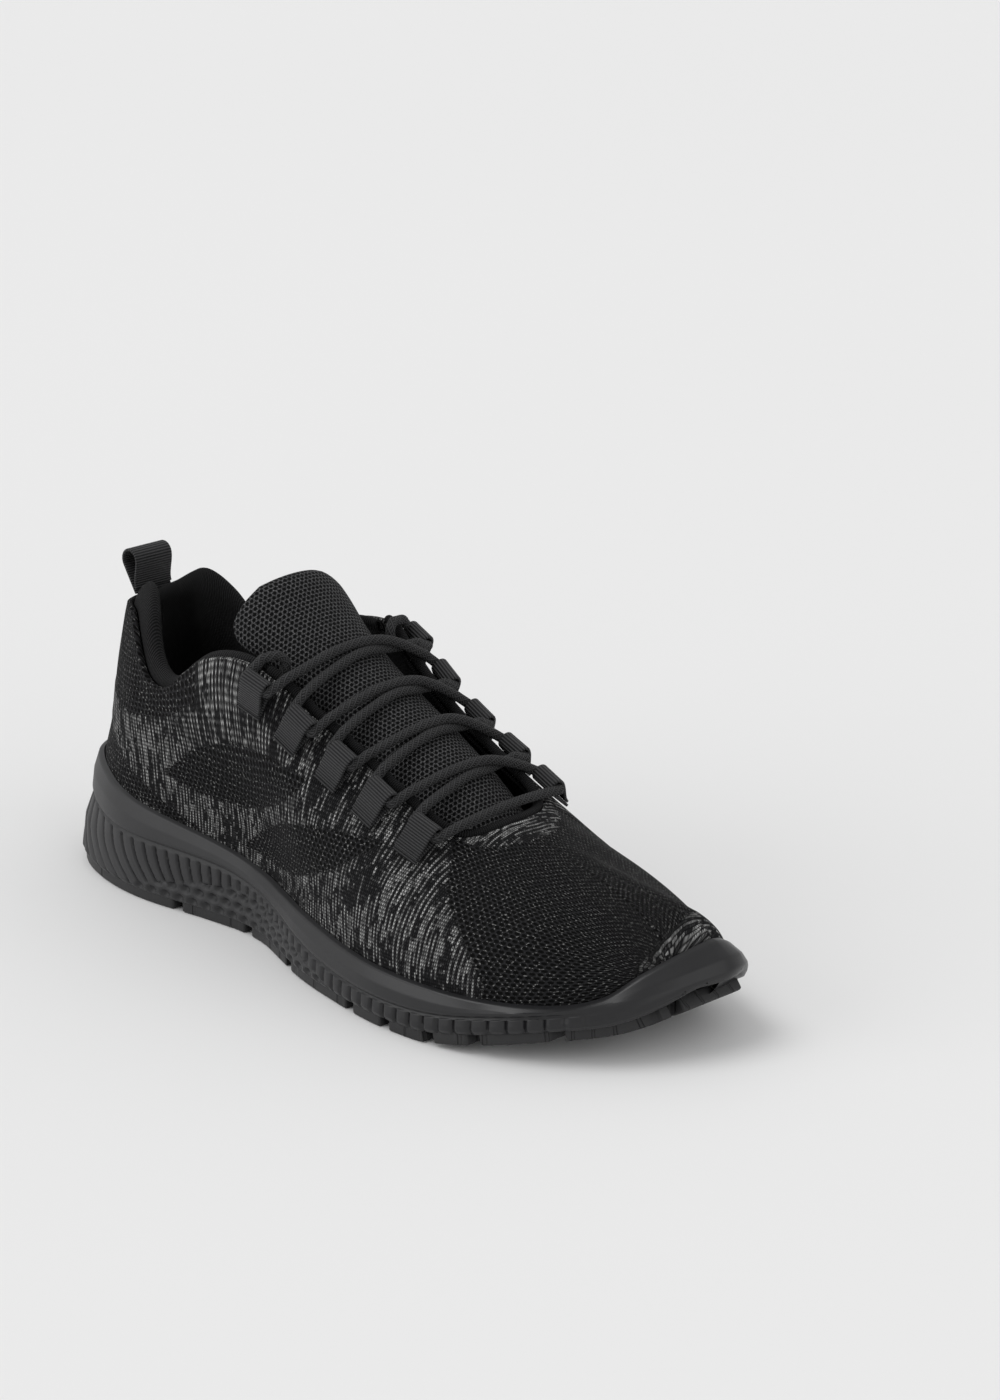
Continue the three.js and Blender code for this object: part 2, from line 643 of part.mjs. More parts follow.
// A point above the bound edge of the throat, where a lace run passes over it.
function overBinding(side, x) {
  const place = throatPlace(side, x);
  const lift = CORD_DIAMETER + CORD_EDGE_LIFT * STRETCH_X;
  return underSurface(place, 1, -lift).addScaledVector(edgeDirection(place), BINDING_DIAMETER / 2);
}

const LOOP_EXIT = (LOOP_WIDTH + CORD_DIAMETER) / 2 + CORD_EXIT;
// One run over the tongue: [share of the way to the inner side, lift of the cord that lies on top].
const LACE_RUN = [[0.3, 0.9], [0.45, 2.7], [0.6, 4], [0.75, 3.5]];
const CORD_LEAN = 1.6;           // bends the runs so that they cross nearer the inner side

// Points of one run from the outer side's cord at `from` to the inner side's at `to`.
function laceRun(from, to, onTop, lean) {
  const rest = CORD_DIAMETER / 2 + LAYER_GAP + FIT_GAP;
  const start = overBinding(-1, from.x);
  const stop = overBinding(1, to.x);
  const middle = LACE_RUN.map(([part, topLift]) => {
    const lift = onTop ? topLift : 0;
    const x = THREE.MathUtils.lerp(from.x, to.x, lean ? part ** CORD_LEAN : part);
    const y = THREE.MathUtils.lerp(from.y, to.y, part);
    const point = overTongue(x, y, rest + lift);
    const straight = THREE.MathUtils.lerp(start.z, stop.z, part) + lift;
    return point.setZ(Math.max(point.z, straight));
  });
  return [start, ...middle, stop];
}

// The whole lace: tucked in behind the first outer loop, down to the toe, and back to the first inner loop.
function lacePoints() {
  const frames = { outer: [], inner: [] };
  for (let i = 0; i < LOOPS_PER_SIDE; i += 1) {
    frames.outer.push(loopFrame(-1, i));
    frames.inner.push(loopFrame(1, i));
  }
  const end = (side, i, way) => {
    const { cord, toeward } = frames[side][i];
    return cord.clone().addScaledVector(toeward, way * LOOP_EXIT);
  };
  const points = [...tuckedEnd(-1, frames.outer[0]).reverse(), end('outer', 0, -1)];
  for (let i = 0; i < LOOPS_PER_SIDE - 1; i += 1) {
    const near = i % 2 === 0 ? 'outer' : 'inner';
    const far = i % 2 === 0 ? 'inner' : 'outer';
    const start = end(near, i, 1);
    const stop = end(far, i + 1, -1);
    points.push(start, ...crossing(near, start, stop), stop);
  }
  const last = LOOPS_PER_SIDE - 1;
  const barStart = end('outer', last, 1);
  const barStop = end('inner', last, 1);
  points.push(barStart, ...laceRun(barStart, barStop, false, false), barStop);
  for (let i = last; i > 0; i -= 1) {
    const near = i % 2 === 0 ? 'inner' : 'outer';
    const far = i % 2 === 0 ? 'outer' : 'inner';
    const start = end(near, i, -1);
    const stop = end(far, i - 1, 1);
    points.push(start, ...crossing(near, start, stop), stop);
  }
  points.push(end('inner', 0, -1), ...tuckedEnd(1, frames.inner[0]));
  return points;
}

// The run that starts at the rear loop of its pair on the outer side lies on top.
function crossing(near, start, stop) {
  const outer = near === 'outer' ? start : stop;
  const inner = near === 'outer' ? stop : start;
  const run = laceRun(outer, inner, outer.x < inner.x, true);
  return near === 'outer' ? run : run.reverse();
}

// The end of the lace turns in over the bound edge and drops behind it, beside the tongue.
const TUCK = { reach: 7.8, lift: 4.2, lowReach: 5.6, depth: 4.5 };
const TUCK_STRETCH = (1 + STRETCH_Y) / 2; // the slot beside the tongue narrows less than the shoe

function tuckedEnd(side, frame) {
  const edge = edgePoint(throatPlace(side, frame.cord.x));
  const beside = edge.clone().add(new THREE.Vector3(0, -side * TUCK.reach * TUCK_STRETCH, TUCK.lift));
  const low = edge.clone().add(new THREE.Vector3(0, -side * TUCK.lowReach * TUCK_STRETCH, -TUCK.depth));
  const over = overBinding(side, frame.cord.x - LOOP_EXIT);
  over.z += CORD_END_RISE;
  return [over, beside, low];
}

// ---------------------------------------------------------------- the shoe
const RUBBER = { color: 0x161617, roughness: 0.62, metalness: 0 };
const FOAM = { color: 0x232324, roughness: 0.7, metalness: 0 };
const KNIT = { color: 0x1c1c1e, roughness: 0.92, metalness: 0 };
const MESH_FABRIC = { color: 0x151517, roughness: 0.88, metalness: 0 };
const LINING = { color: 0x121214, roughness: 0.94, metalness: 0 };
const WEBBING = { color: 0x17171a, roughness: 0.8, metalness: 0 };
const BOARD = { color: 0x8f8b84, roughness: 0.9, metalness: 0 };

const shoe = new THREE.Group();

function addPiece(name, geometry, look) {
  const mesh = new THREE.Mesh(geometry, new THREE.MeshStandardMaterial(look));
  mesh.name = name;
  shoe.add(mesh);
  return mesh;
}

function addSole() {
  addPiece('midsole', midsoleGeometry(), FOAM);
  addPiece('strobel_board', boardGeometry(STROBEL_INSET, FIT_GAP, STROBEL_THICKNESS), BOARD);
  addPiece('sock_liner', boardGeometry(SOCK_INSET, STROBEL_TOP + FIT_GAP, SOCK_THICKNESS), LINING);
  const starts = [FIRST_PAD_X, ...GROOVES_X];
  const ends = [...GROOVES_X, LAST_PAD_X];
  for (let i = 0; i < starts.length; i += 1) {
    const start = starts[i] * STRETCH_X + (i === 0 ? 0 : PAD_GROOVE / 2);
    const end = ends[i] * STRETCH_X - (i === starts.length - 1 ? 0 : PAD_GROOVE / 2);
    addPiece(`outsole_pad_lateral_${i + 1}`, padGeometry(-1, start, end), RUBBER);
    addPiece(`outsole_pad_medial_${i + 1}`, padGeometry(1, start, end), RUBBER);
  }
}

function addUpper() {
  addPiece('knit_upper', knitGeometry(), KNIT);
  addPiece('heel_counter', stiffenerGeometry(-COUNTER_END, COUNTER_END, COUNTER_RISE), BOARD);
  addPiece('toe_puff', stiffenerGeometry(PUFF_START, 2 - PUFF_START, PUFF_RISE), BOARD);
  addPiece('vamp_lining', vampLiningGeometry(), LINING);
  addPiece('collar_lining', collarLiningGeometry(), LINING);
  addPiece('collar_foam', collarFoamGeometry(), BOARD);
  addPiece('throat_binding', bindingGeometry(), LINING);
}

function addTongue() {
  const liningTop = (along) => foamBottom(along) + FIT_GAP;
  const liningBottom = (along) => liningTop(along) + LINING_THICKNESS;
  addPiece('tongue_mesh', tongueLayer(() => 0, () => TONGUE_MESH_THICKNESS), MESH_FABRIC);
  addPiece('tongue_foam', tongueLayer(() => foamTop, foamBottom), BOARD);
  addPiece('tongue_lining', tongueLayer(liningTop, liningBottom), LINING);
}

function addLacing() {
  for (const [side, label] of [[-1, 'lateral'], [1, 'medial']]) {
    for (let i = 0; i < LOOPS_PER_SIDE; i += 1) {
      const { foot, inward, outward } = loopFrame(side, i);
      const loop = addPiece(
        `lace_loop_${label}_${i + 1}`,
        webbingLoop(LOOP_LENGTH, CORD_TUNNEL, LOOP_WEBBING, LOOP_WIDTH),
        WEBBING,
      );
      const sideways = new THREE.Vector3().crossVectors(inward, outward);
      loop.setRotationFromMatrix(new THREE.Matrix4().makeBasis(inward, outward, sideways));
      loop.position.copy(foot);
    }
  }
  addPiece('lace', cordGeometry(lacePoints(), CORD_DIAMETER), WEBBING);
}

function addPullTab() {
  const tab = addPiece('pull_tab', webbingLoop(TAB_LENGTH, TAB_OPENING, TAB_WEBBING, TAB_WIDTH), WEBBING);
  const lean = THREE.MathUtils.degToRad(TAB_LEAN);
  const upward = new THREE.Vector3(-Math.sin(lean), 0, Math.cos(lean));
  const inward = new THREE.Vector3(Math.cos(lean), 0, Math.sin(lean));
  const sideways = new THREE.Vector3(0, 1, 0);
  tab.setRotationFromMatrix(new THREE.Matrix4().makeBasis(upward, inward, sideways));
  tab.position.copy(edgePoint(0));
  tab.position.addScaledVector(sideways, TAB_SIDE_SHIFT).addScaledVector(upward, FIT_GAP);
}

addSole();
addUpper();
addTongue();
addLacing();
addPullTab();

// Bring the middle of the shoe's footprint over the origin.
const bounds = new THREE.Box3().setFromObject(shoe);
const middle = bounds.getCenter(new THREE.Vector3());
shoe.position.set(-middle.x, -middle.y, 0);
shoe.updateMatrixWorld(true);

export default shoe;
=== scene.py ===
# %% [markdown]
# # A black running shoe
#
# This lesson dresses one shoe: a knitted upper on a ribbed foam sole, closed by an elastic cord.
# The frame brings in the exact solids of the shoe. They say where each piece is and how it moves,
# and the pieces made here take the place of the soft ones. All lengths are in metres.

import json
import math

import bpy
import numpy as np
from mathutils import Matrix, Vector
from mathutils.kdtree import KDTree


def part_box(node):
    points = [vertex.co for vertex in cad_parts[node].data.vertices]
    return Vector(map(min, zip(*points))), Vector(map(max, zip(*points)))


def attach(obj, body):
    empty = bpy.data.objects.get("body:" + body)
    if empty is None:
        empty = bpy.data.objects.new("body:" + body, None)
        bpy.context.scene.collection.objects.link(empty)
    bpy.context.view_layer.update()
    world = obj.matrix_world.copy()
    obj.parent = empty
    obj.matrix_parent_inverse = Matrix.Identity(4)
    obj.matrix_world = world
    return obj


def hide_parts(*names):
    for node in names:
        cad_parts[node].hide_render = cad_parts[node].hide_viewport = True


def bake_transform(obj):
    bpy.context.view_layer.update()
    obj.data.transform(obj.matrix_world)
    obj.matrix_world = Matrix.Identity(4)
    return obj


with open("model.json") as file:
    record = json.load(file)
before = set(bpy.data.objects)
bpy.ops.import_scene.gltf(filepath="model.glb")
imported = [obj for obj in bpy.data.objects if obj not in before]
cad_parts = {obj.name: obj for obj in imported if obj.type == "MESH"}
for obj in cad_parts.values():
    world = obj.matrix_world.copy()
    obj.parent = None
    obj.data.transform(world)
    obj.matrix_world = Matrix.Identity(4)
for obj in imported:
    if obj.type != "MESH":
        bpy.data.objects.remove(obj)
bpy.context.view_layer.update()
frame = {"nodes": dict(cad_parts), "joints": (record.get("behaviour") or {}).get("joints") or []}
MM = 0.001

# %% [markdown]
# ## The drawing's origin
#
# The shoe was drawn from the back of the heel, on the ground, 218 mm behind the tongue's hinge and
# 54.5 mm below it. The record still holds that hinge, so the drawing's origin is found from it.

# %% Find the drawing's origin
hinge_of = {joint["name"]: Vector(joint["pos_m"]) for joint in frame["joints"]}
HEEL = hinge_of["tongue_hinge"] - Vector((218, 0, 54.5)) * MM
print("heel point:", [round(value, 4) for value in HEEL])


# %% [markdown]
# ## Camera, floor and light
#
# A shoe for a shop page stands on a pale sweep of paper under big soft boxes. A long lens from a
# little over a metre keeps its proportions calm. The camera looks at a point a little beside the
# shoe, so that the shoe sits low and left of the middle of the picture.

# %% Camera
def aim(obj, direction):
    obj.rotation_euler = direction.to_track_quat("-Z", "Y").to_euler()


AZIMUTH, ELEVATION, DISTANCE = math.radians(48.3), math.radians(20.7), 1.34
TARGET = HEEL + Vector((150, 0, 50)) * MM
SIDE_AIM, UP_AIM = 0.03014, 0.02716   # slopes from the shoe's middle to the picture's
back = Vector((
    math.sin(AZIMUTH) * math.cos(ELEVATION),
    -math.cos(AZIMUTH) * math.cos(ELEVATION),
    math.sin(ELEVATION),
))
right = Vector((math.cos(AZIMUTH), math.sin(AZIMUTH), 0))
up = back.cross(right)
camera = bpy.data.objects.new("camera", bpy.data.cameras.new("camera"))
bpy.context.scene.collection.objects.link(camera)
bpy.context.scene.camera = camera
camera.location = TARGET + back * DISTANCE
camera.data.lens = 98.1
aim(camera, -back + right * SIDE_AIM + up * UP_AIM)
print("camera at", [round(value, 3) for value in camera.location])


# %% Floor and lights
def soft_sun(name, azimuth, elevation, strength, spread):
    """Even light from a wide patch of sky, so that the floor has one tone."""
    lamp = bpy.data.lights.new(name, "SUN")
    lamp.energy = strength
    lamp.angle = math.radians(spread)
    obj = bpy.data.objects.new(name, lamp)
    bpy.context.scene.collection.objects.link(obj)
    a, e = math.radians(azimuth), math.radians(elevation)
    aim(obj, -Vector((math.sin(a) * math.cos(e), -math.cos(a) * math.cos(e), math.sin(e))))


soft_sun("light_above", -35, 62, 0.85, 35)
soft_sun("light_left", -25, 14, 0.9, 50)
soft_sun("light_front", 95, 18, 0.5, 60)
world = bpy.data.worlds.new("studio")
bpy.context.scene.world = world
world.use_nodes = True
world.node_tree.nodes["Background"].inputs["Color"].default_value = (1, 1, 1, 1)
world.node_tree.nodes["Background"].inputs["Strength"].default_value = 0.66
bpy.context.scene.view_settings.view_transform = "Standard"


def all_deselected():
    if bpy.context.object is not None and bpy.context.object.mode != "OBJECT":
        bpy.ops.object.mode_set(mode="OBJECT")
    bpy.ops.object.select_all(action="DESELECT")


all_deselected()
bpy.ops.mesh.primitive_plane_add(size=200)
floor = bpy.context.object
floor.name = "floor"


# %% [markdown]
# ## Shader maths in Python
#
# A finish is a small sum: where a stitch is, how light its yarn is. A sum reads better as a line
# of Python than as twenty boxes, so one class wraps a socket and turns each operator into a Math
# node, and one method makes any other node.

# %% Small classes for node trees
class Value:
    """One output of a shader node. Arithmetic on it adds Math nodes."""

    def __init__(self, look, socket):
        self.look = look
        self.socket = socket

    def math(self, operation, *others):
        return self.look.node("Math", {"operation": operation}, self, *others)

    def __add__(self, other):
        return self.math("ADD", other)

    def __radd__(self, other):
        return self.math("ADD", other)

    def __sub__(self, other):
        return self.math("SUBTRACT", other)

    def __rsub__(self, other):
        return self.look.node("Math", {"operation": "SUBTRACT"}, other, self)

    def __mul__(self, other):
        return self.math("MULTIPLY", other)

    def __rmul__(self, other):
        return self.math("MULTIPLY", other)

    def __truediv__(self, other):
        return self.math("DIVIDE", other)

    def sine(self):
        return self.math("SINE")

    def size(self):
        return self.math("ABSOLUTE")

    def floor(self):
        return self.math("FLOOR")

    def part(self):
        return self.math("FRACT")

    def rise(self, low, high):
        """0 below low, 1 above high, smooth between them."""
        settings = {"interpolation_type": "SMOOTHSTEP"}
        return self.look.node("MapRange", settings, self, low, high)


class Look:
    """A material with one Principled shader, and the nodes that feed it."""

    def __init__(self, name, **plain):
        self.material = bpy.data.materials.new(name)
        self.material.use_nodes = True
        self.tree = self.material.node_tree
        self.shader = self.tree.nodes["Principled BSDF"]
        for socket, value in plain.items():
            self.shader.inputs[socket.replace("_", " ")].default_value = value

    def feed(self, socket, value):
        if isinstance(value, Value):
            self.tree.links.new(value.socket, socket)
        elif isinstance(value, (tuple, list)) and len(value) == 3 and socket.type == "RGBA":
            socket.default_value = (*value, 1)
        else:
            socket.default_value = value

    def node(self, kind, settings, *values, **named):
        made = self.tree.nodes.new("ShaderNode" + kind)
        for key, value in settings.items():
            setattr(made, key, value)
        for socket, value in zip(made.inputs, values):
            self.feed(socket, value)
        for key, value in named.items():
            self.feed(made.inputs[key.replace("_", " ")], value)
        return Value(self, made.outputs[0])

    def mix(self, factor, low, high):
        """Colour low where factor is 0 and high where it is 1."""
        made = self.tree.nodes.new("ShaderNodeMix")
        made.data_type = "RGBA"
        self.feed(made.inputs[0], factor)
        self.feed(made.inputs[6], low)
        self.feed(made.inputs[7], high)
        return Value(self, made.outputs[2])

    def cloth(self):
        """Position on the cloth in millimetres, from the piece's own UV map."""
        spot = self.node("SeparateXYZ", {}, self.node("UVMap", {"uv_map": "cloth"}))
        sockets = spot.socket.node.outputs
        return Value(self, sockets[0]) * 1000, Value(self, sockets[1]) * 1000

    def place(self):
        """Position in the shoe in millimetres."""
        coordinates = self.tree.nodes.new("ShaderNodeTexCoord")
        spot = self.node("SeparateXYZ", {}, Value(self, coordinates.outputs["Object"]))
        return [Value(self, socket) * 1000 for socket in spot.socket.node.outputs]

    def attribute(self, name):
        made = self.tree.nodes.new("ShaderNodeAttribute")
        made.attribute_name = name
        return Value(self, made.outputs["Fac"])

    def noise(self, x, y, z=0.0, detail=1.0, roughness=0.5):
        """Soft noise from 0 to 1 whose lumps are about one unit across."""
        spot = self.node("CombineXYZ", {}, x, y, z)
        return self.node("TexNoise", {}, spot, Scale=1.0, Detail=detail, Roughness=roughness)

    def paint(self, **sockets):
        for socket, value in sockets.items():
            self.feed(self.shader.inputs[socket.replace("_", " ")], value)

    def relief(self, height, depth, strength=1.0):
        """A height from 0 to 1 shown as a relief of that depth in metres."""
        self.paint(Normal=self.node("Bump", {}, Height=height, Distance=depth, Strength=strength))


paper = Look("paper", Roughness=0.9, Specular_IOR_Level=0.1)
px, py, _ = paper.place()
paper.paint(Base_Color=paper.mix(paper.noise(px / 900, py / 900), (0.80, 0.80, 0.80), (0.815, 0.815, 0.815)))
floor.data.materials.append(paper.material)


# %% [markdown]
# ## The lines of the shoe
#
# A shoemaker draws a shoe as a few long lines: the outline of the sole, the heights of its bands,
# and the edge of the collar and throat. The same lines shaped the solids in the frame. A smooth
# curve through a handful of rows gives each line at any point, in millimetres from the heel.

# %% Smooth curves through rows of numbers
def smooth_table(rows):
    rows = np.array(rows, float)

    def read(key):
        key = np.asarray(key, float)
        i = np.minimum(np.searchsorted(rows[1:, 0], key), len(rows) - 2)
        a, b = rows[i], rows[i + 1]
        before, after = rows[np.maximum(i - 1, 0)], rows[np.minimum(i + 2, len(rows) - 1)]
        span = b[..., :1] - a[..., :1]
        t = np.clip((key[..., None] - a[..., :1]) / span, 0, 1)
        leave = (b - before)[..., 1:] / (b - before)[..., :1] * span
        arrive = (after - a)[..., 1:] / (after - a)[..., :1] * span
        ease = t * t * (3 - 2 * t)
        bend = leave * t * (1 - t) ** 2 - arrive * t * t * (1 - t)
        return a[..., 1:] + (b - a)[..., 1:] * ease + bend

    return read


def line(rows):
    table = smooth_table(rows)
    return lambda x: table(x)[..., 0]


def blended(a, b, share):
    return a + (b - a) * share


def distance_along(points):
    """Length of a path of points up to each one of them."""
    steps = np.linalg.norm(np.diff(points, axis=0), axis=1)
    return np.concatenate([[0], np.cumsum(steps)])


def smoothstep(value, low, high):
    t = np.clip((value - low) / (high - low), 0, 1)
    return t * t * (3 - 2 * t)


FIT_GAP = 0.3
LAYER_GAP = 0.4
KNIT = 2.2
STIFFENER = 1.2
LINING = 0.9
PAD = 3.0

sole_edge_line = line([[0, 4], [6, 1.5], [16, 0], [222, 0], [236, 2], [250, 4.6], [268, 8.2],
                       [284, 11], [292, 15], [298, 21]])
band_line = line([[0, 27.5], [45, 24.9], [100, 22.4], [122, 19.3], [144, 17.6], [174, 12],
                  [200, 10.4], [227, 11], [256, 15.5], [286, 21], [300, 26.5]])
top_line = line([[0, 43.5], [32, 41.5], [60, 37], [100, 30.6], [122, 26.8], [155, 25.4],
                 [185, 22.3], [230, 20.7], [268, 21], [283, 24], [291, 31], [300, 37.5]])
bed_line = line([[0, 34], [40, 32], [80, 26.5], [120, 20.5], [160, 16.5], [200, 13.6],
                 [230, 13.2], [250, 14.2], [272, 16.4], [300, 21]])
top_inset = line([[0, 9.5], [20, 8.8], [50, 4.6], [80, 4], [270, 4], [288, 6], [300, 9]])
band_inset = line([[0, 5.5], [20, 5], [50, 1.4], [80, 1], [280, 1], [300, 1.5]])


def sole_bottom(x):
    return np.maximum(sole_edge_line(x), 0) + PAD + FIT_GAP


# %% Outline of the sole
OUTER_SIDE = [[0, 0], [3, -15], [10, -27], [20, -34.5], [35, -40], [50, -42.5], [65, -42.5],
              [95, -38], [112, -36.5], [125, -38], [140, -43], [156, -48.5], [175, -52.5],
              [205, -56], [235, -53], [250, -48], [262, -42], [273, -34], [283, -24], [291, -12],
              [296.5, 0], [299.5, 11]]
TOE_TIP = [300, 19]
INNER_SIDE = [[296, 29], [286, 37.5], [266, 46], [240, 50.5], [210, 51], [180, 46], [150, 38],
              [120, 33.5], [80, 35], [40, 36], [22, 33], [10, 26], [3, 15]]


def rounded_outline(points, steps=160):
    """A closed curve through points, with loose corners kept loose and tight ones tight."""
    points = np.array(points, float)
    t = np.arange(steps)[:, None] / steps
    pieces = []
    for k in range(len(points)):
        p0, p1, p2, p3 = (points[(k + shift) % len(points)] for shift in (-1, 0, 1, 2))
        d0, d1, d2 = (math.sqrt(np.linalg.norm(v)) for v in (p1 - p0, p2 - p1, p3 - p2))
        leave = ((p1 - p0) / d0 - (p2 - p0) / (d0 + d1) + (p2 - p1) / d1) * d1
        arrive = ((p2 - p1) / d1 - (p3 - p1) / (d1 + d2) + (p3 - p2) / d2) * d1
        cubic = 2 * p1 - 2 * p2 + leave + arrive
        square = -3 * p1 + 3 * p2 - 2 * leave - arrive
        pieces.append(p1 + leave * t + square * t ** 2 + cubic * t ** 3)
    return np.concatenate(pieces)


corners = [*OUTER_SIDE, TOE_TIP, *INNER_SIDE]
rim = rounded_outline(corners)
rim = np.vstack([rim, rim[:1]])
rim_length = distance_along(rim)
toe_length = rim_length[round(len(OUTER_SIDE) / len(corners) * (len(rim) - 1))]
rim_slope = np.gradient(rim, rim_length, axis=0)
print("round the sole:", round(rim_length[-1]), "mm, toe at", round(toe_length), "mm")


def wrap(place):
    """A place runs from 0 at the heel, along the outer side, to 1 at the toe and back to 2."""
    return np.mod(place, 2)


def along_side(place):
    return 1 - np.abs(1 - wrap(place))


def outline_at(place):
    """Points of the outline and their outward directions."""
    w = wrap(place)
    reach = np.where(w <= 1, w * toe_length, toe_length + (w - 1) * (rim_length[-1] - toe_length))
    point = np.stack([np.interp(reach, rim_length, rim[:, k]) for k in (0, 1)], -1)
    slope = np.stack([np.interp(reach, rim_length, rim_slope[:, k]) for k in (0, 1)], -1)
    slope /= np.linalg.norm(slope, axis=-1, keepdims=True)
    return point, np.stack([slope[..., 1], -slope[..., 0]], -1)


def sole_point(place, inset, z):
    point, outward = outline_at(place)
    flat = point - outward * np.asarray(inset)[..., None]
    return np.concatenate([flat, np.broadcast_to(z, flat.shape[:-1])[..., None]], -1)


# %% [markdown]
# ## The upper's surface
#
# Between the lip of the sole and the edge of the collar the upper follows one curve at each place
# round the shoe. Every layer, from the knit to the lining, lies at its own depth under it, so one
# function makes them all and they never cross.

# %% Surface of the upper
EDGE = [[0, 19, 0, 99], [0.07, 22, -10, 99.5], [0.125, 28, -17, 100.3], [0.165, 36, -21.5, 99.5],
        [0.2, 45, -27, 92.5], [0.235, 54, -30.8, 82.5], [0.27, 64, -33, 80],
        [0.3, 73, -34.2, 83.2], [0.33, 83, -35.3, 91.2], [0.36, 94, -36.2, 98.3],
        [0.395, 108, -36.6, 102.6], [0.43, 121, -35.8, 102.8], [0.465, 133, -33.2, 97.6],
        [0.51, 148, -30.6, 88.8], [0.56, 165, -28.8, 81], [0.61, 185, -28.4, 72.2],
        [0.66, 202, -26.4, 64.4], [0.7, 210, -23, 61.2], [0.78, 214.5, -17, 61],
        [0.88, 217, -8, 62.4], [1, 217.5, 0, 63], [1.09, 217, 7, 63], [1.18, 214.5, 14, 62.6],
        [1.255, 210, 19.6, 63], [1.3, 202, 22.4, 66.4], [1.35, 185, 23.8, 72.8],
        [1.41, 165, 25.2, 80.6], [1.46, 148, 26.3, 89.6], [1.505, 133, 29.2, 97.6],
        [1.545, 121, 31.6, 103], [1.585, 108, 32.2, 102.8], [1.62, 94, 32.8, 98.5],
        [1.655, 83, 32.6, 91.6], [1.69, 73, 32.2, 83.8], [1.725, 64, 31.5, 80.6],
        [1.76, 54, 29.8, 83], [1.795, 45, 26.5, 93], [1.835, 36, 21.5, 100],
        [1.88, 28, 17, 100.6], [1.93, 22, 10, 99.5]]
edge_table = smooth_table(
    [[row[0] - 2, *row[1:]] for row in EDGE[-2:]] + EDGE + [[row[0] + 2, *row[1:]] for row in EDGE[:3]]
)
# along, lean, forward, inward, up, low handle, high handle
section_shape = smooth_table([
    [0, 0.32, 0.3, 0, 0.95, 0.3, 0.33], [0.15, 0.2, 0.14, 0.24, 0.96, 0.33, 0.33],
    [0.27, 0.1, 0, 0.12, 0.99, 0.35, 0.33], [0.42, 0.05, 0, 0.3, 0.95, 0.38, 0.33],
    [0.5, 0, 0, 0.56, 0.83, 0.4, 0.34], [0.66, -0.08, -0.12, 0.7, 0.7, 0.42, 0.36],
    [0.74, -0.02, -0.6, 0.5, 0.6, 0.42, 0.4], [0.82, 0.05, -0.88, 0.25, 0.4, 0.36, 0.42],
    [0.9, 0.2, -0.94, 0.08, 0.32, 0.26, 0.46], [1, 0.45, -0.96, 0, 0.28, 0.15, 0.5],
])


def unit(vectors):
    return vectors / np.linalg.norm(vectors, axis=-1, keepdims=True)


def edge_point(place):
    return edge_table(wrap(place))


def edge_direction(place):
    shape = section_shape(along_side(place))
    side = np.where(wrap(place) <= 1, 1, -1)
    return unit(np.stack([shape[..., 1], shape[..., 2] * side, shape[..., 3]], -1))


def surface_point(place, rise):
    place, rise = np.broadcast_arrays(np.asarray(place, float), np.asarray(rise, float))
    point, outward = outline_at(place)
    x = point[..., 0]
    low = sole_point(place, top_inset(x) + FIT_GAP, top_line(x))
    high = edge_point(place)
    shape = section_shape(along_side(place))
    lean = shape[..., :1]
    leave = unit(np.concatenate([-outward * lean, np.ones_like(lean)], -1))
    reach = np.linalg.norm(high - low, axis=-1, keepdims=True)
    low_control = low + leave * reach * shape[..., 4:5]
    high_control = high - edge_direction(place) * reach * shape[..., 5:6]
    t = np.clip(rise, 0, 1)[..., None]
    curve = (low * (1 - t) ** 3 + low_control * 3 * t * (1 - t) ** 2
             + high_control * 3 * t * t * (1 - t) + high * t ** 3)
    down = np.clip(-rise, 0, 1)
    curve[..., 2] += down * (bed_line(x) + FIT_GAP - low[..., 2])
    return curve


def surface_normal(place, rise):
    step = 0.004
    forward = surface_point(place + step, rise) - surface_point(place - step, rise)
    low, high = np.clip(rise - step, 0, 1), np.clip(rise + step, 0, 1)
    upward = surface_point(place, high) - surface_point(place, low)
    _, outward = outline_at(place)
    level = np.concatenate([outward, np.zeros_like(outward[..., :1])], -1)
    return np.where((np.asarray(rise) < 0)[..., None], level, unit(np.cross(forward, upward)))


def under_surface(place, rise, depth):
    place, rise = np.broadcast_arrays(np.asarray(place, float), np.asarray(rise, float))
    return surface_point(place, rise) - surface_normal(place, rise) * np.asarray(depth)[..., None]


# %% [markdown]
# ## From a flat grid to a piece
#
# Cloth is cut flat and then pulled over a form, and these pieces are made the same way: a flat
# grid of quads is added, and each of its points is carried to its place on the form. The grid
# keeps a map of where every point lay on the flat cloth, so a weave can follow the piece.

# %% Making and finishing a piece
def flat_grid(name, columns, rows):
    """A grid one unit wide, with the across and up share of each of its points."""
    all_deselected()
    bpy.ops.mesh.primitive_grid_add(x_subdivisions=columns, y_subdivisions=rows, size=1)
    piece = bpy.context.object
    piece.name = piece.data.name = name
    flat = np.empty(len(piece.data.vertices) * 3)
    piece.data.vertices.foreach_get("co", flat)
    flat = flat.reshape(-1, 3) + 0.5
    return piece, flat[:, 0], flat[:, 1]


def carried(piece, points, cloth, inside_out=False):
    """Moves the grid's points to points, in drawing millimetres, and maps the cloth on them."""
    mesh = piece.data
    placed = points * MM + np.array(HEEL)
    mesh.vertices.foreach_set("co", placed.ravel())
    corner = np.empty(len(mesh.loops), int)
    mesh.loops.foreach_get("vertex_index", corner)
    mesh.uv_layers[0].name = "cloth"
    mesh.uv_layers[0].data.foreach_set("uv", (cloth[corner] * MM).ravel())
    if inside_out:
        mesh.flip_normals()
    mesh.update()
    return piece


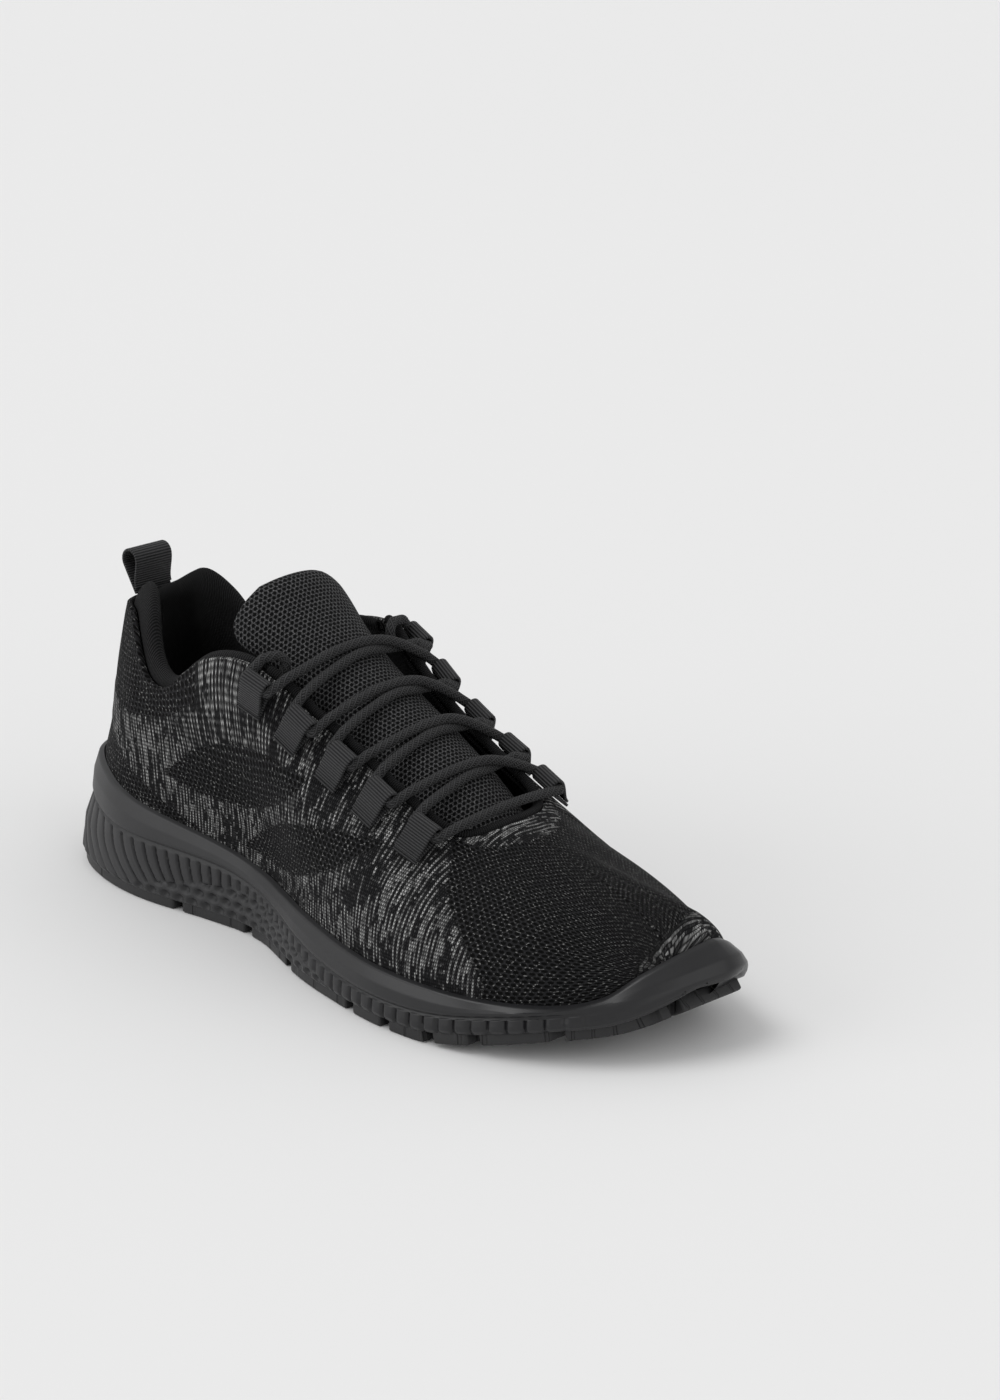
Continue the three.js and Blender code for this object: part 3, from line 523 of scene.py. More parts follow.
def welded(piece, distance=0.00002):
    all_deselected()
    piece.select_set(True)
    bpy.context.view_layer.objects.active = piece
    bpy.ops.object.mode_set(mode="EDIT")
    bpy.ops.mesh.select_all(action="SELECT")
    bpy.ops.mesh.remove_doubles(threshold=distance)
    bpy.ops.object.mode_set(mode="OBJECT")
    return piece


def with_modifier(piece, kind, **settings):
    all_deselected()
    piece.select_set(True)
    bpy.context.view_layer.objects.active = piece
    made = piece.modifiers.new(kind.lower(), kind)
    for key, value in settings.items():
        setattr(made, key, value)
    bpy.ops.object.modifier_apply(modifier=made.name)
    return piece


def smooth(piece, degrees=40):
    all_deselected()
    piece.select_set(True)
    bpy.context.view_layer.objects.active = piece
    bpy.ops.object.shade_smooth_by_angle(angle=math.radians(degrees))
    return piece


def dressed(piece, look, slot, body, *nodes):
    """The piece gets its finish, rides on its body and stands for those nodes."""
    piece.data.materials.clear()
    piece.data.materials.append(look.material)
    if nodes:
        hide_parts(*nodes)
    if body:
        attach(piece, body)
    triangles = sum(len(face.vertices) - 2 for face in piece.data.polygons)
    print(f"{piece.name}: {triangles} triangles")
    return piece


def float_attribute(piece, name, values):
    made = piece.data.attributes.new(name, "FLOAT", "POINT")
    made.data.foreach_set("value", np.asarray(values, np.float32))


# %% [markdown]
# ## Foam of the sole
#
# The sole is one block of moulded foam. It is matt, painted a little lighter at the heel and darker
# at the toe (painted light and painted shade), and shinier at the toe, where the mould was polished.
# The grain of the mould is finer than a tenth of a millimetre, so it only dulls the light.

# %% Foam and rubber finishes
foam_look = Look("moulded_foam", Specular_IOR_Level=0.34)
x, y, z = foam_look.place()
toward_toe = (x + z * 0.6).rise(-95.0, 130.0)
cloudy = foam_look.noise(x / 9, y / 9, z / 9, detail=3.0)
# Painted light and shade: the heel is painted a lighter grey and the toe a darker grey, for how light falls
# on the sole.
lit_heel_grey = foam_look.mix(cloudy, (0.02, 0.02, 0.021), (0.028, 0.028, 0.0295))
shaded_toe_grey = foam_look.mix(cloudy, (0.011, 0.011, 0.012), (0.016, 0.016, 0.017))
grain = foam_look.noise(x * 4, y * 4, z * 4, detail=2.0)
foam_look.paint(
    Base_Color=foam_look.mix(toward_toe, lit_heel_grey, shaded_toe_grey),
    Roughness=0.5 - toward_toe * 0.2 + (grain - 0.5) * 0.12,
)
foam_look.relief(grain, 0.00006, 0.5)

rubber_look = Look("tread_rubber", Specular_IOR_Level=0.3)
x, y, z = rubber_look.place()
across = (y / 7 + (x / 5).sine() * 0.35).part()
groove = ((across - 0.5).size()).rise(0.40, 0.46)
grit = rubber_look.noise(x * 3, y * 3, z * 3, detail=2.0)
rubber_look.paint(
    Base_Color=rubber_look.mix(grit, (0.018, 0.018, 0.0185), (0.026, 0.026, 0.027)),
    Roughness=0.5 + (grit - 0.5) * 0.2 + groove * 0.1,
)
rubber_look.relief(1 - groove * 0.9 + grit * 0.08, 0.0009)

# %% [markdown]
# ## The sole
#
# From the side the sole shows a smooth crowned band with a rounded lip, a thin cut line below it,
# and a ribbed wall. The ribs are wide and sweep forward at the heel, and close up and stand
# straight under the arch and along the forefoot. Under the arch the ribs give way to a panel of
# small dimples. One grid goes round the shoe and over the whole section, from the middle of the
# bed, over the lip and down the wall to the middle of the bottom, and a height map carves it.

# %% Section of the sole
SECTION_ROWS = 78
rib_pitch = line([[0, 8.6], [60, 8.2], [95, 5.6], [150, 4.9], [210, 5.6], [290, 6.6], [420, 8]])
PANEL_REAR, PANEL_FRONT = 50, 185
PANEL_LOW, PANEL_RISE = 3, 13


def panel_line(x):
    """Top of the dimpled panel, an arch from under the heel to behind the ball."""
    share = np.clip((x - PANEL_REAR) / (PANEL_FRONT - PANEL_REAR), 0, 1)
    return PANEL_LOW + PANEL_RISE * np.sin(np.pi * share)


half_rim = np.linspace(0, 420, 2101)
rib_count = np.concatenate([[0], np.cumsum(np.diff(half_rim) / rib_pitch(half_rim[1:]))])


def rib_relief(reach, x, z):
    """Ribs with narrow grooves between them, which sweep forward towards the ground."""
    down = np.clip(band_line(x) - z, 0, None)
    sweep = blended(0.034, 0.006, smoothstep(x, 60, 120)) * down ** 2
    phase = np.interp(reach - sweep, half_rim, rib_count)
    beside = np.abs(np.mod(phase, 1) - 0.5) * 2
    rounded = 0.45 * (1 - beside ** 2)
    groove = blended(1.9, 1.0, smoothstep(x, 110, 180))
    return rounded - groove * smoothstep(beside, blended(0.74, 0.68, smoothstep(x, 110, 180)), 1.0)


def dimple_relief(reach, z):
    """Rows of small oval dimples, each row shifted half a step."""
    row = np.floor(z / 4.1)
    across = np.mod(reach / 6.6 + 0.5 * np.mod(row, 2), 1) - 0.5
    lift = np.mod(z / 4.1, 1) - 0.5
    ring = np.hypot(across * 6.6 / 2.0, lift * 4.1 / 1.35)
    return 0.5 - 1.7 * np.exp(-ring ** 4)


def section(place, row):
    """Inset from the outline and height at a share of the way over the section."""
    point, _ = outline_at(place)
    x = point[:, 0]
    bottom, band, top, bed = sole_bottom(x), band_line(x), top_line(x), bed_line(x)
    t_inset, b_inset = top_inset(x), band_inset(x)
    crown = (b_inset + t_inset) / 2 - 2.1
    stops = np.array([0, 0.06, 0.12, 0.15, 0.19, 0.27, 0.37, 0.4, 0.415, 0.43, 0.66, 0.86, 0.9, 0.93, 1])
    none = np.zeros_like(x)
    insets = [t_inset, t_inset, t_inset, t_inset + 0.1, t_inset - 2.0, crown, b_inset - 1.0,
              b_inset - 0.7, b_inset + 0.5, b_inset - 0.2, b_inset * 0.35, none + 0.3,
              none + 1.2, none + 3, none + 3]
    heights = [bed, bed, bed + 0.4 * (top - bed), top - 0.3, top - 0.9, blended(band, top, 0.55),
               band + 2.2, band + 1.1, band + 0.4, band - 0.3, blended(bottom, band, 0.6),
               bottom + 2.5, bottom + 0.8, bottom, bottom]
    k = np.clip(np.searchsorted(stops, row, side="right") - 1, 0, len(stops) - 2)
    share = (row - stops[k]) / (stops[k + 1] - stops[k])
    columns = np.arange(len(x))
    insets, heights = np.array(insets), np.array(heights)
    toe = smoothstep(x, 268, 290)
    level = np.clip((heights[5:13] - bottom) / (top - bottom), 0, 1)
    bumper = t_inset * level ** 2 - 2.2 * np.sin(level * math.pi) ** 0.8 + 1.2 * (1 - level) ** 2
    insets[5:13] = blended(insets[5:13], bumper, toe)
    inset = blended(insets[k, columns], insets[k + 1, columns], share)
    height = blended(heights[k, columns], heights[k + 1, columns], share)
    gather = np.where(row < 0.06, 1 - row / 0.06, np.where(row > 0.93, (row - 0.93) / 0.07, 0))
    return inset, height, gather


# %% Build the sole
midsole, u, v = flat_grid("foam_sole", 1100, SECTION_ROWS)
place = 2 * u
inset, height, gather = section(place, v)
point, _ = outline_at(place)
reach = along_side(place) * toe_length
rib_edge = 0.03 * (2 * np.mod(np.interp(reach, half_rim, rib_count), 1) - 1) ** 2
wall = smoothstep(v, 0.425 + rib_edge, 0.445 + rib_edge) * (1 - smoothstep(v, 0.88, 0.93))
under_arch = smoothstep(panel_line(point[:, 0]) - height, -0.7, 0.5)
fade_toe = 1 - smoothstep(point[:, 0], 262, 288)
relief = blended(rib_relief(reach, point[:, 0], height), dimple_relief(reach, height), under_arch)
points = sole_point(place, inset - wall * fade_toe * relief, height)
partner = sole_point(2 - place, inset, height)
points = blended(points, (points + partner) / 2, gather[:, None])
cloth = np.stack([reach, height], -1)
carried(midsole, points, cloth)
welded(midsole)
smooth(midsole, 60)
dressed(midsole, foam_look, "midsole_foam", "shoe", "midsole")

# %% [markdown]
# ## Lugs under the sole
#
# Eighteen lugs of rubber are moulded onto the foam. At the edge they carry on the line of the
# wall, so that the sole shows a row of notches there. Each starts as a flat grid on its share of
# the tread, gets its thickness up into the foam, and has its edges rounded.

# %% Lugs
LUG_TOP, LUG_EDGE = 2.6, 1.3   # how far a lug reaches into the foam, and its inset from the wall


def edge_y(side, x):
    """The outline's distance from the middle line at a distance from the heel."""
    low = np.full_like(x, 0 if side < 0 else 1)
    high = low + 1
    for _ in range(30):
        middle = (low + high) / 2
        beyond = (outline_at(middle)[0][:, 0] > x) == (side < 0)
        high, low = np.where(beyond, middle, high), np.where(beyond, low, middle)
    return outline_at((low + high) / 2)[0][:, 1]


for side, label in ((-1, "lateral"), (1, "medial")):
    for number in range(1, 10):
        name = f"outsole_pad_{label}_{number}"
        low, high = (np.array(corner) / MM - np.array(HEEL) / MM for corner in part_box(name))
        lug, u, v = flat_grid("tread_" + name, 16, 24)
        x = blended(low[0], high[0], u)
        toe_inset = 3.2 * smoothstep(x, 235, 280)
        outer = edge_y(side, np.minimum(x + toe_inset, 293)) - side * LUG_EDGE
        outer = side * np.maximum(side * outer, 4.5)
        y = blended(np.full_like(x, side * 3.0), outer, v)
        z = np.maximum(sole_edge_line(x), 0)
        carried(lug, np.stack([x, y, z], -1), np.stack([x, y], -1), inside_out=side > 0)
        with_modifier(lug, "SOLIDIFY", thickness=(PAD + LUG_TOP) * MM, offset=-1)
        with_modifier(lug, "BEVEL", width=0.9 * MM, segments=3, limit_method="ANGLE",
                      angle_limit=math.radians(50))
        smooth(lug, 50)
        dressed(lug, rubber_look, "outsole_rubber", "shoe", name)


# %% [markdown]
# ## The knit
#
# The upper is knitted in one go from black yarn and a black yarn with a pale grey core. Where the
# pale core comes up it shows as broken streaks that run down the side of the foot, and where the
# knit opens into a mesh for air it stays dark, with rows of small holes. The streaks are noise
# drawn out along the yarn and cut up by the stitches. The places of the open zones are painted on
# the cloth as one number per point, so their edges can step from stitch to stitch.

# %% Knit finish
def tucked_rows(u, v, width, height):
    """Rows of small holes, each row shifted half a step: 1 in a hole, 0 on the yarn round it."""
    row = (v / height).floor()
    across = ((u / width + row * 0.5).part() - 0.5).size() * 2
    up_row = ((v / height).part() - 0.5).size() * 2
    return 1 - (across * across + up_row * up_row * 0.8).rise(0.3, 0.72)


knit_look = Look("knit", Specular_IOR_Level=0.07, Sheen_Weight=0.02, Sheen_Roughness=0.5)
u_mm, v_mm = knit_look.cloth()
STITCH_WIDTH, STITCH_HEIGHT = 0.85, 1.25
wander = knit_look.noise(u_mm / 12, v_mm / 20) - 0.5
yarn = (u_mm + wander * 2.5) / STITCH_WIDTH
wale = yarn.floor()
leg = (yarn.part() - 0.5).size() * 2
slope = ((v_mm / STITCH_HEIGHT - leg * 0.75).part() - 0.5).size() * 2
stitch = (1 - leg.rise(0.45, 1.0)) * (1 - slope.rise(0.35, 0.9))
every_other = (wale * 0.5).part() * 2
streak = knit_look.noise(wale * 7.31, v_mm / 12, detail=1.0)
patch = knit_look.noise(u_mm / 15, v_mm / 26, 3.1)
broken = knit_look.noise(wale * 5.7, v_mm / 1.6, 7.7)
shown = streak + (patch - 0.5) * 0.5 + (broken - 0.5) * 0.3 - every_other * 0.16
pale = shown.rise(0.41, 0.47)
bright = knit_look.noise(wale * 3.9, v_mm / 4.0, 11.0).rise(0.3, 0.7)
zone = knit_look.attribute("open_zone") + (knit_look.noise(u_mm / 1.8, v_mm / 1.3, 5.0) - 0.5) * 4.0
open_knit = zone.rise(-0.5, 0.3)
HOLE_WIDTH, HOLE_HEIGHT = 2.3, 1.75
holes = tucked_rows(u_mm + v_mm * 0.25, v_mm, HOLE_WIDTH, HOLE_HEIGHT)
glint = (knit_look.noise(u_mm / 0.8, v_mm / 0.7, 2.0)).rise(0.6, 0.68)
fleck = broken.rise(0.5, 0.66)
dark_yarn = knit_look.mix(fleck, (0.015, 0.015, 0.016), (0.06, 0.06, 0.061))
# Here and two lines below, the gaps between the stitches are painted darker than the yarn: painted shade
# between the stitches.
dark = knit_look.mix(stitch, (0.003, 0.003, 0.0035), dark_yarn)
pale_yarn = knit_look.mix(bright, (0.1, 0.1, 0.1), (0.46, 0.46, 0.455))
light = knit_look.mix(stitch, (0.02, 0.02, 0.02), pale_yarn)
heather = knit_look.mix(pale, dark, light)
mesh_yarn = knit_look.mix(glint, (0.013, 0.013, 0.014), (0.17, 0.17, 0.165))
# The holes are painted near black: painted shade inside them, over the dark lining that shows through.
mesh = knit_look.mix(holes, mesh_yarn, (0.0006, 0.0006, 0.0006))
knit_look.paint(Base_Color=knit_look.mix(open_knit, heather, mesh), Roughness=0.82 - pale * 0.12)
stitched = stitch * 0.6 + pale * 0.25
knit_look.relief(stitched * (1 - open_knit) + (1 - holes) * open_knit * 1.5, 0.0008)


# %% Where the knit opens
def girth(points, place):
    """Distance down from the crown over the side: height at the heel, an arc further forward."""
    arc = np.abs(np.arctan2(points[..., 1], points[..., 2] - 30)) * 50
    return blended(100 - points[..., 2], arc, smoothstep(along_side(place), 0.15, 0.4))


def cloth_map(place, points):
    """Position on the knit: forward along the shoe, and down from the crown, mirrored by side."""
    side = along_side(place)
    round_heel = np.minimum(side, 0.5) * toe_length - outline_at(np.minimum(side, 0.5))[0][..., 0]
    lean = 0.42 * (1 - smoothstep(points[..., 0], 35, 115))
    forward = points[..., 0] + round_heel + lean * (points[..., 2] - 60)
    return forward, girth(points, place)


# The open knit lies in two leaves on each side, two bands at the heel and an oval over the toes.
UPPER_LEAF = {"rear": (70, 50), "front": (155, 70), "swell": 12}
LOWER_LEAF = {"rear": (110, 32), "front": (192, 58), "swell": 9}
HEEL_REACH = 90
HEEL_WEDGE = 20
SADDLE_MIDDLE, SADDLE_HEIGHT, SADDLE_CURVE = 45, 66, 0.008
TOE_MIDDLE, TOE_HALF_LENGTH, TOE_HALF_WIDTH = 245, 40, 45
VAMP_MIDDLE, VAMP_RADIUS = 205, 23


def leaf_reach(x, z, rear, front, swell):
    """How far points lie inside a leaf between two tips, negative outside it."""
    run, climb = front[0] - rear[0], front[1] - rear[1]
    length = math.hypot(run, climb)
    share = ((x - rear[0]) * run + (z - rear[1]) * climb) / length ** 2
    aside = np.abs((x - rear[0]) * climb - (z - rear[1]) * run) / length
    return swell * 4 * share * (1 - share) - aside


def heel_reach(x, z):
    """How far points lie inside the wedge over the sole or the saddle under the collar."""
    over_sole = z - top_line(x)
    wedge = np.minimum(over_sole, HEEL_WEDGE * (1 - x / HEEL_REACH) - over_sole)
    saddle = z - SADDLE_HEIGHT - SADDLE_CURVE * (x - SADDLE_MIDDLE) ** 2
    return np.maximum(wedge, np.minimum(saddle, HEEL_REACH - x))


def toe_reach(x, y):
    """How far points lie inside the oval over the toes and clear of the vamp."""
    oval = 1 - np.hypot((x - TOE_MIDDLE) / TOE_HALF_LENGTH, y / TOE_HALF_WIDTH)
    return np.minimum(oval * TOE_HALF_LENGTH, np.hypot(x - VAMP_MIDDLE, y) - VAMP_RADIUS)


def open_zone(points):
    x, y, z = points[..., 0], points[..., 1], points[..., 2]
    leaves = [leaf_reach(x, z, **leaf) for leaf in (UPPER_LEAF, LOWER_LEAF)]
    return np.max([*leaves, heel_reach(x, z), toe_reach(x, y)], axis=0)


# %% Build the knit
# The profile goes up the outside, rolls over the edge and comes down inside to where it began.
knit, u, v = flat_grid("knit_upper_cloth", 560, 120)
place = 2 * u
KNIT_LOW, EDGE_START, EDGE_END = -0.3, 0.62, 0.68
outside = v <= EDGE_START
turn = np.clip((v - EDGE_START) / (EDGE_END - EDGE_START), 0, 1) * math.pi
share = np.where(outside, v / EDGE_START, 1 - np.clip((v - EDGE_END) / (1 - EDGE_END), 0, 1))
rise = np.where(share < 0.07, KNIT_LOW + share / 0.07 * -KNIT_LOW, (share - 0.07) / 0.93)
points = surface_point(place, rise)
forward, down = cloth_map(place, points)
zone_depth = open_zone(points)
soft = 0.2 * np.sin(points[:, 0] / 9 + points[:, 2] / 13) * np.sin(points[:, 2] / 8 + points[:, 1] / 11)
swell = smoothstep(rise, 0.03, 0.2) * (1 - smoothstep(rise, 0.85, 1))
sunk = 0.1 + 0.3 * smoothstep(zone_depth, -1, 2.5) * swell - soft * swell
half = KNIT / 2
depth = np.where(outside, sunk, np.where(turn < math.pi, half - half * np.cos(turn), KNIT - 0.1))
edge_round = np.where((v > EDGE_START) & (v < EDGE_END), np.sin(turn) * half * 0.8, 0)
past_edge = edge_round - 0.5 * smoothstep(rise, 0.97, 1)
points = under_surface(place, rise, depth) + edge_direction(place) * past_edge[:, None]
side_sign = np.where(u < 0.5, -1, 1)
carried(knit, points, np.stack([forward, side_sign * (down - turn * half)], -1))
float_attribute(knit, "open_zone", zone_depth)
welded(knit, 0.00004)
smooth(knit, 75)
dressed(knit, knit_look, "knit", "shoe", "knit_upper")


# %% [markdown]
# ## Linings and the padded collar
#
# Inside, a smooth black lining covers the knit. Round the ankle it is a finely ribbed cloth that
# swells over a roll of foam, folds over the edge and is stitched down outside. The roll is thick
# on the two sides of the heel and thins to a piping where it meets the throat.

# %% Lining finishes
def ribbed_cloth(name, tone, rib, sheen):
    look = Look(name, Specular_IOR_Level=0.08, Sheen_Weight=sheen, Sheen_Roughness=0.4)
    u, v = look.cloth()
    ribs = 1 - (((v + (look.noise(u / 7, v / 7) - 0.5) * 0.8) / rib).part() - 0.5).size() * 2
    loops = 1 - (((u / rib * 0.8) + (v / rib).floor() * 0.5).part() - 0.5).size() * 2
    height = ribs * 0.6 + ribs * loops * 0.4
    # The grooves between the ribs are painted a patchy fraction of the cloth's tone: painted shade in the
    # grooves.
    groove_shade_patches = look.noise(u / 15, v / 15, detail=3.0)
    groove_shade = look.mix(groove_shade_patches, tuple(0.12 * c for c in tone), tuple(0.22 * c for c in tone))
    look.paint(Base_Color=look.mix(height, groove_shade, tone), Roughness=0.86 - height * 0.08)
    look.relief(height, 0.0005)
    return look


collar_look = ribbed_cloth("collar_cloth", (0.026, 0.026, 0.027), 1.1, 0.03)
lining_look = ribbed_cloth("lining_cloth", (0.014, 0.014, 0.015), 1.0, 0.02)
binding_look = ribbed_cloth("edge_binding", (0.02, 0.02, 0.021), 0.8, 0.02)
sock_look = ribbed_cloth("sock_cloth", (0.02, 0.02, 0.021), 1.3, 0.03)

# %% Collar
COLLAR_END = 0.4375
STIFFENER_DEPTH = KNIT + LAYER_GAP
LINING_DEPTH = STIFFENER_DEPTH + STIFFENER + LAYER_GAP
collar_padding = smooth_table([[0, 4.2, 2.6], [0.07, 4.6, 5], [0.15, 5, 9.6], [0.2, 5, 8.4],
                               [0.27, 4.4, 4], [0.33, 2.6, 2.6], [0.38, 1.6, 2], [0.44, 0.8, 1.2]])


def collar_depth(place, rise):
    bulge = collar_padding(along_side(place))[..., 0]
    return LINING_DEPTH + bulge * smoothstep(rise, 0.4, 0.82)


def roll_point(place, angle, thickness):
    """A point of the roll over the edge, by its angle from the foot side to the knit side."""
    height = collar_padding(along_side(place))[..., 1]
    depth = collar_depth(place, np.ones_like(place))
    radius = (depth - STIFFENER_DEPTH - LINING) / 2
    lift = np.sin(angle) * (height + thickness)
    sideways = depth - radius + np.cos(angle) * (radius + thickness)
    return under_surface(place, np.ones_like(place), sideways) + edge_direction(place) * lift[..., None]


ROLL_START = 0.62   # share of the width that is the wall below the roll
collar, u, v = flat_grid("collar_cloth_roll", 420, 72)
place = blended(-COLLAR_END, COLLAR_END, u)
rise = blended(-0.5, 0.985, np.clip(v / ROLL_START, 0, 1))
angle = np.clip((v - ROLL_START) / 0.38, 0, 1) * math.pi
where_pleated = np.exp(-((np.abs(place) - 0.27) / 0.06) ** 2)
pleats = 0.9 * np.sin(place * 80) * where_pleated * smoothstep(rise, 0.15, 0.5)
pleats *= 1 - smoothstep(rise, 0.8, 0.95)
wall = under_surface(place, rise, collar_depth(place, rise) + LINING + pleats)
roll = roll_point(place, angle, LINING)
points = np.where((v <= ROLL_START)[:, None], wall, roll)
round_shoe = place * toe_length
up_wall = np.where(v <= ROLL_START, rise * 60, 60 + angle * 5)
carried(collar, points, np.stack([up_wall, round_shoe], -1), inside_out=True)
with_modifier(collar, "SOLIDIFY", thickness=LINING * MM, offset=-1)
smooth(collar, 60)
dressed(collar, collar_look, "lining", "shoe", "collar_lining", "collar_foam")

# %% Lining of the vamp
vamp, u, v = flat_grid("vamp_lining_cloth", 260, 40)
start = COLLAR_END + 0.004
place = blended(start, 2 - start, u)
rise = blended(-0.5, 0.97, v)
points = under_surface(place, rise, LINING_DEPTH + LINING * np.ones_like(place))
carried(vamp, points, np.stack([rise * 55, place * toe_length], -1), inside_out=True)
with_modifier(vamp, "SOLIDIFY", thickness=LINING * MM, offset=-1)
smooth(vamp, 60)
dressed(vamp, lining_look, "lining", "shoe", "vamp_lining")


# %% [markdown]
# ## Cords and piping
#
# The piping round the throat and the lace are round cords that follow a line. A grid is rolled
# into a tube: its width goes round the cord and its length along it, so the braid on its map runs
# true through every bend.

# %% Roll a grid into a cord
def even_line(points, spacing):
    """Points at even spacing on a smooth curve through the given ones."""
    points = np.array(points, float)
    padded = np.vstack([2 * points[0] - points[1], points, 2 * points[-1] - points[-2]])
    t = np.linspace(0, 1, 24, endpoint=False)[:, None]
    pieces = []
    for k in range(1, len(padded) - 2):
        p0, p1, p2, p3 = padded[k - 1:k + 3]
        d0, d1, d2 = (max(math.sqrt(np.linalg.norm(v)), 1e-3) for v in (p1 - p0, p2 - p1, p3 - p2))
        leave = ((p1 - p0) / d0 - (p2 - p0) / (d0 + d1) + (p2 - p1) / d1) * d1
        arrive = ((p2 - p1) / d1 - (p3 - p1) / (d1 + d2) + (p3 - p2) / d2) * d1
        ease = [2 * t ** 3 - 3 * t ** 2 + 1, t ** 3 - 2 * t ** 2 + t,
                3 * t ** 2 - 2 * t ** 3, t ** 3 - t ** 2]
        pieces.append(p1 * ease[0] + leave * ease[1] + p2 * ease[2] + arrive * ease[3])
    fine = np.vstack([*pieces, points[-1:]])
    length = distance_along(fine)
    at = np.linspace(0, length[-1], max(int(length[-1] / spacing), 8) + 1)
    return np.stack([np.interp(at, length, fine[:, k]) for k in range(3)], -1), at


def cord_frames(path):
    """Two directions across the path at each point, turned as little as possible."""
    along = unit(np.gradient(path, axis=0))
    side = unit(np.cross(along[0], [0.3, 0.2, 1.0]))
    sides = []
    for direction in along:
        side = side - direction * (side @ direction)
        side = side / np.linalg.norm(side)
        sides.append(side)
    sides = np.array(sides)
    return sides, np.cross(along, sides)


def ends_closed(piece):
    """Fills the open ends of a rolled-up grid and turns its faces outward."""
    all_deselected()
    piece.select_set(True)
    bpy.context.view_layer.objects.active = piece
    bpy.ops.object.mode_set(mode="EDIT")
    bpy.ops.mesh.select_all(action="DESELECT")
    bpy.ops.mesh.select_non_manifold(extend=False)
    bpy.ops.mesh.edge_face_add()
    bpy.ops.mesh.select_all(action="SELECT")
    bpy.ops.mesh.normals_make_consistent(inside=False)
    bpy.ops.object.mode_set(mode="OBJECT")


def rolled_cord(name, line_points, radius, sides=14, spacing=0.6, flatten=1.0):
    path, at = even_line(line_points, spacing)
    across, over = cord_frames(path)
    piece, u, v = flat_grid(name, sides, len(path) - 1)
    k = np.rint(v * (len(path) - 1)).astype(int)
    turn = 2 * math.pi * u
    end = np.minimum(at[k], at[-1] - at[k])
    r = radius * np.sqrt(np.clip(1 - (1 - np.clip(end / radius, 0, 1)) ** 2, 0.02, 1))
    points = (path[k] + across[k] * (np.cos(turn) * r)[:, None]
              + over[k] * (np.sin(turn) * r * flatten)[:, None])
    carried(piece, points, np.stack([u * 2 * math.pi * radius, at[k]], -1))
    welded(piece)
    ends_closed(piece)
    smooth(piece, 60)
    return piece


BINDING_RADIUS = 1.8
CORD_RADIUS = 1.75

# %% Piping round the throat
places = np.linspace(COLLAR_END + 0.008, 2 - COLLAR_END - 0.008, 120)
piping_line = (under_surface(places, np.ones_like(places), np.full_like(places, 1.6))
               + edge_direction(places) * (BINDING_RADIUS + LAYER_GAP))
piping = rolled_cord("throat_piping", piping_line, BINDING_RADIUS)
dressed(piping, binding_look, "binding", "shoe", "throat_binding")


# %% [markdown]
# ## The tongue
#
# The tongue is a pad: an open spacer mesh on top, foam inside and a smooth lining against the
# foot. It arches over the instep and its edges are rounded where the mesh is turned in. A grid is
# rolled round its section, so top, edges and underside are one skin.

# %% Mesh finish of the tongue
mesh_look = Look("spacer_mesh", Specular_IOR_Level=0.12, Sheen_Weight=0.02, Sheen_Roughness=0.5)
u_mm, v_mm = mesh_look.cloth()
bent = v_mm + (mesh_look.noise(u_mm / 9, v_mm / 9) - 0.5) * 0.5
cell = tucked_rows(u_mm + v_mm * 0.2, bent, 1.9, 1.6)
thread_and_highlight = mesh_look.noise(u_mm * 1.6, v_mm * 3.2, 1.0, detail=2.0)
# The yarn is painted lighter in patches: painted highlights on the threads, from the same noise that gives
# the threads their bumps.
ridge = mesh_look.mix(thread_and_highlight.rise(0.4, 0.68), (0.013, 0.013, 0.014), (0.12, 0.12, 0.122))
# The holes of the cells are painted near black: painted shade inside them.
mesh_look.paint(
    Base_Color=mesh_look.mix(cell, ridge, (0.0012, 0.0012, 0.0015)),
    Roughness=0.74 + cell * 0.2,
)
mesh_look.relief((1 - cell) * 0.85 + thread_and_highlight * 0.15, 0.0009)

# %% Shape of the tongue
TONGUE_MIDDLE = -2.0
TONGUE_MESH = 1.4
TONGUE_TUCK = 2.6   # how far its lower part reaches in under the edges of the throat
tongue_arch = smooth_table([[0, 17.5, 29], [0.15, 19.6, 29], [0.5, 21.8, 30], [0.75, 23, 31],
                            [0.84, 25.6, 32], [0.9, 28, 33], [0.95, 27, 33], [0.98, 22, 33],
                            [1, 15, 33]])
tongue_foam = line([[0, 1.4], [0.12, 2.4], [0.3, 5.5], [0.8, 6.5], [0.95, 4], [1, 2]])
CREST = [[226, 51.5], [217, 55.6], [211, 60.4], [204, 66.2], [195, 72.4], [182, 79.6],
         [165, 88.2], [147, 97.5], [134, 105], [122, 113.2], [113, 120.6], [106, 127]]
crest_line, crest_at = even_line([[x, TONGUE_MIDDLE, z] for x, z in CREST], 0.5)
crest_slope = unit(np.gradient(crest_line, axis=0))
tongue_length = crest_at[-1]


def tongue_point(along, across, depth):
    arch = tongue_arch(along)
    radius, half_angle = arch[..., 1], np.arcsin(arch[..., 0] / arch[..., 1])
    at = np.asarray(along) * tongue_length
    point = np.stack([np.interp(at, crest_at, crest_line[:, k]) for k in range(3)], -1)
    slope = np.stack([np.interp(at, crest_at, crest_slope[:, k]) for k in range(3)], -1)
    inward = np.stack([-slope[..., 2], np.zeros_like(radius), slope[..., 0]], -1)
    angle = across * half_angle
    point[..., 1] += np.sin(angle) * (radius - depth)
    return point + inward * (radius - (radius - depth) * np.cos(angle))[..., None]


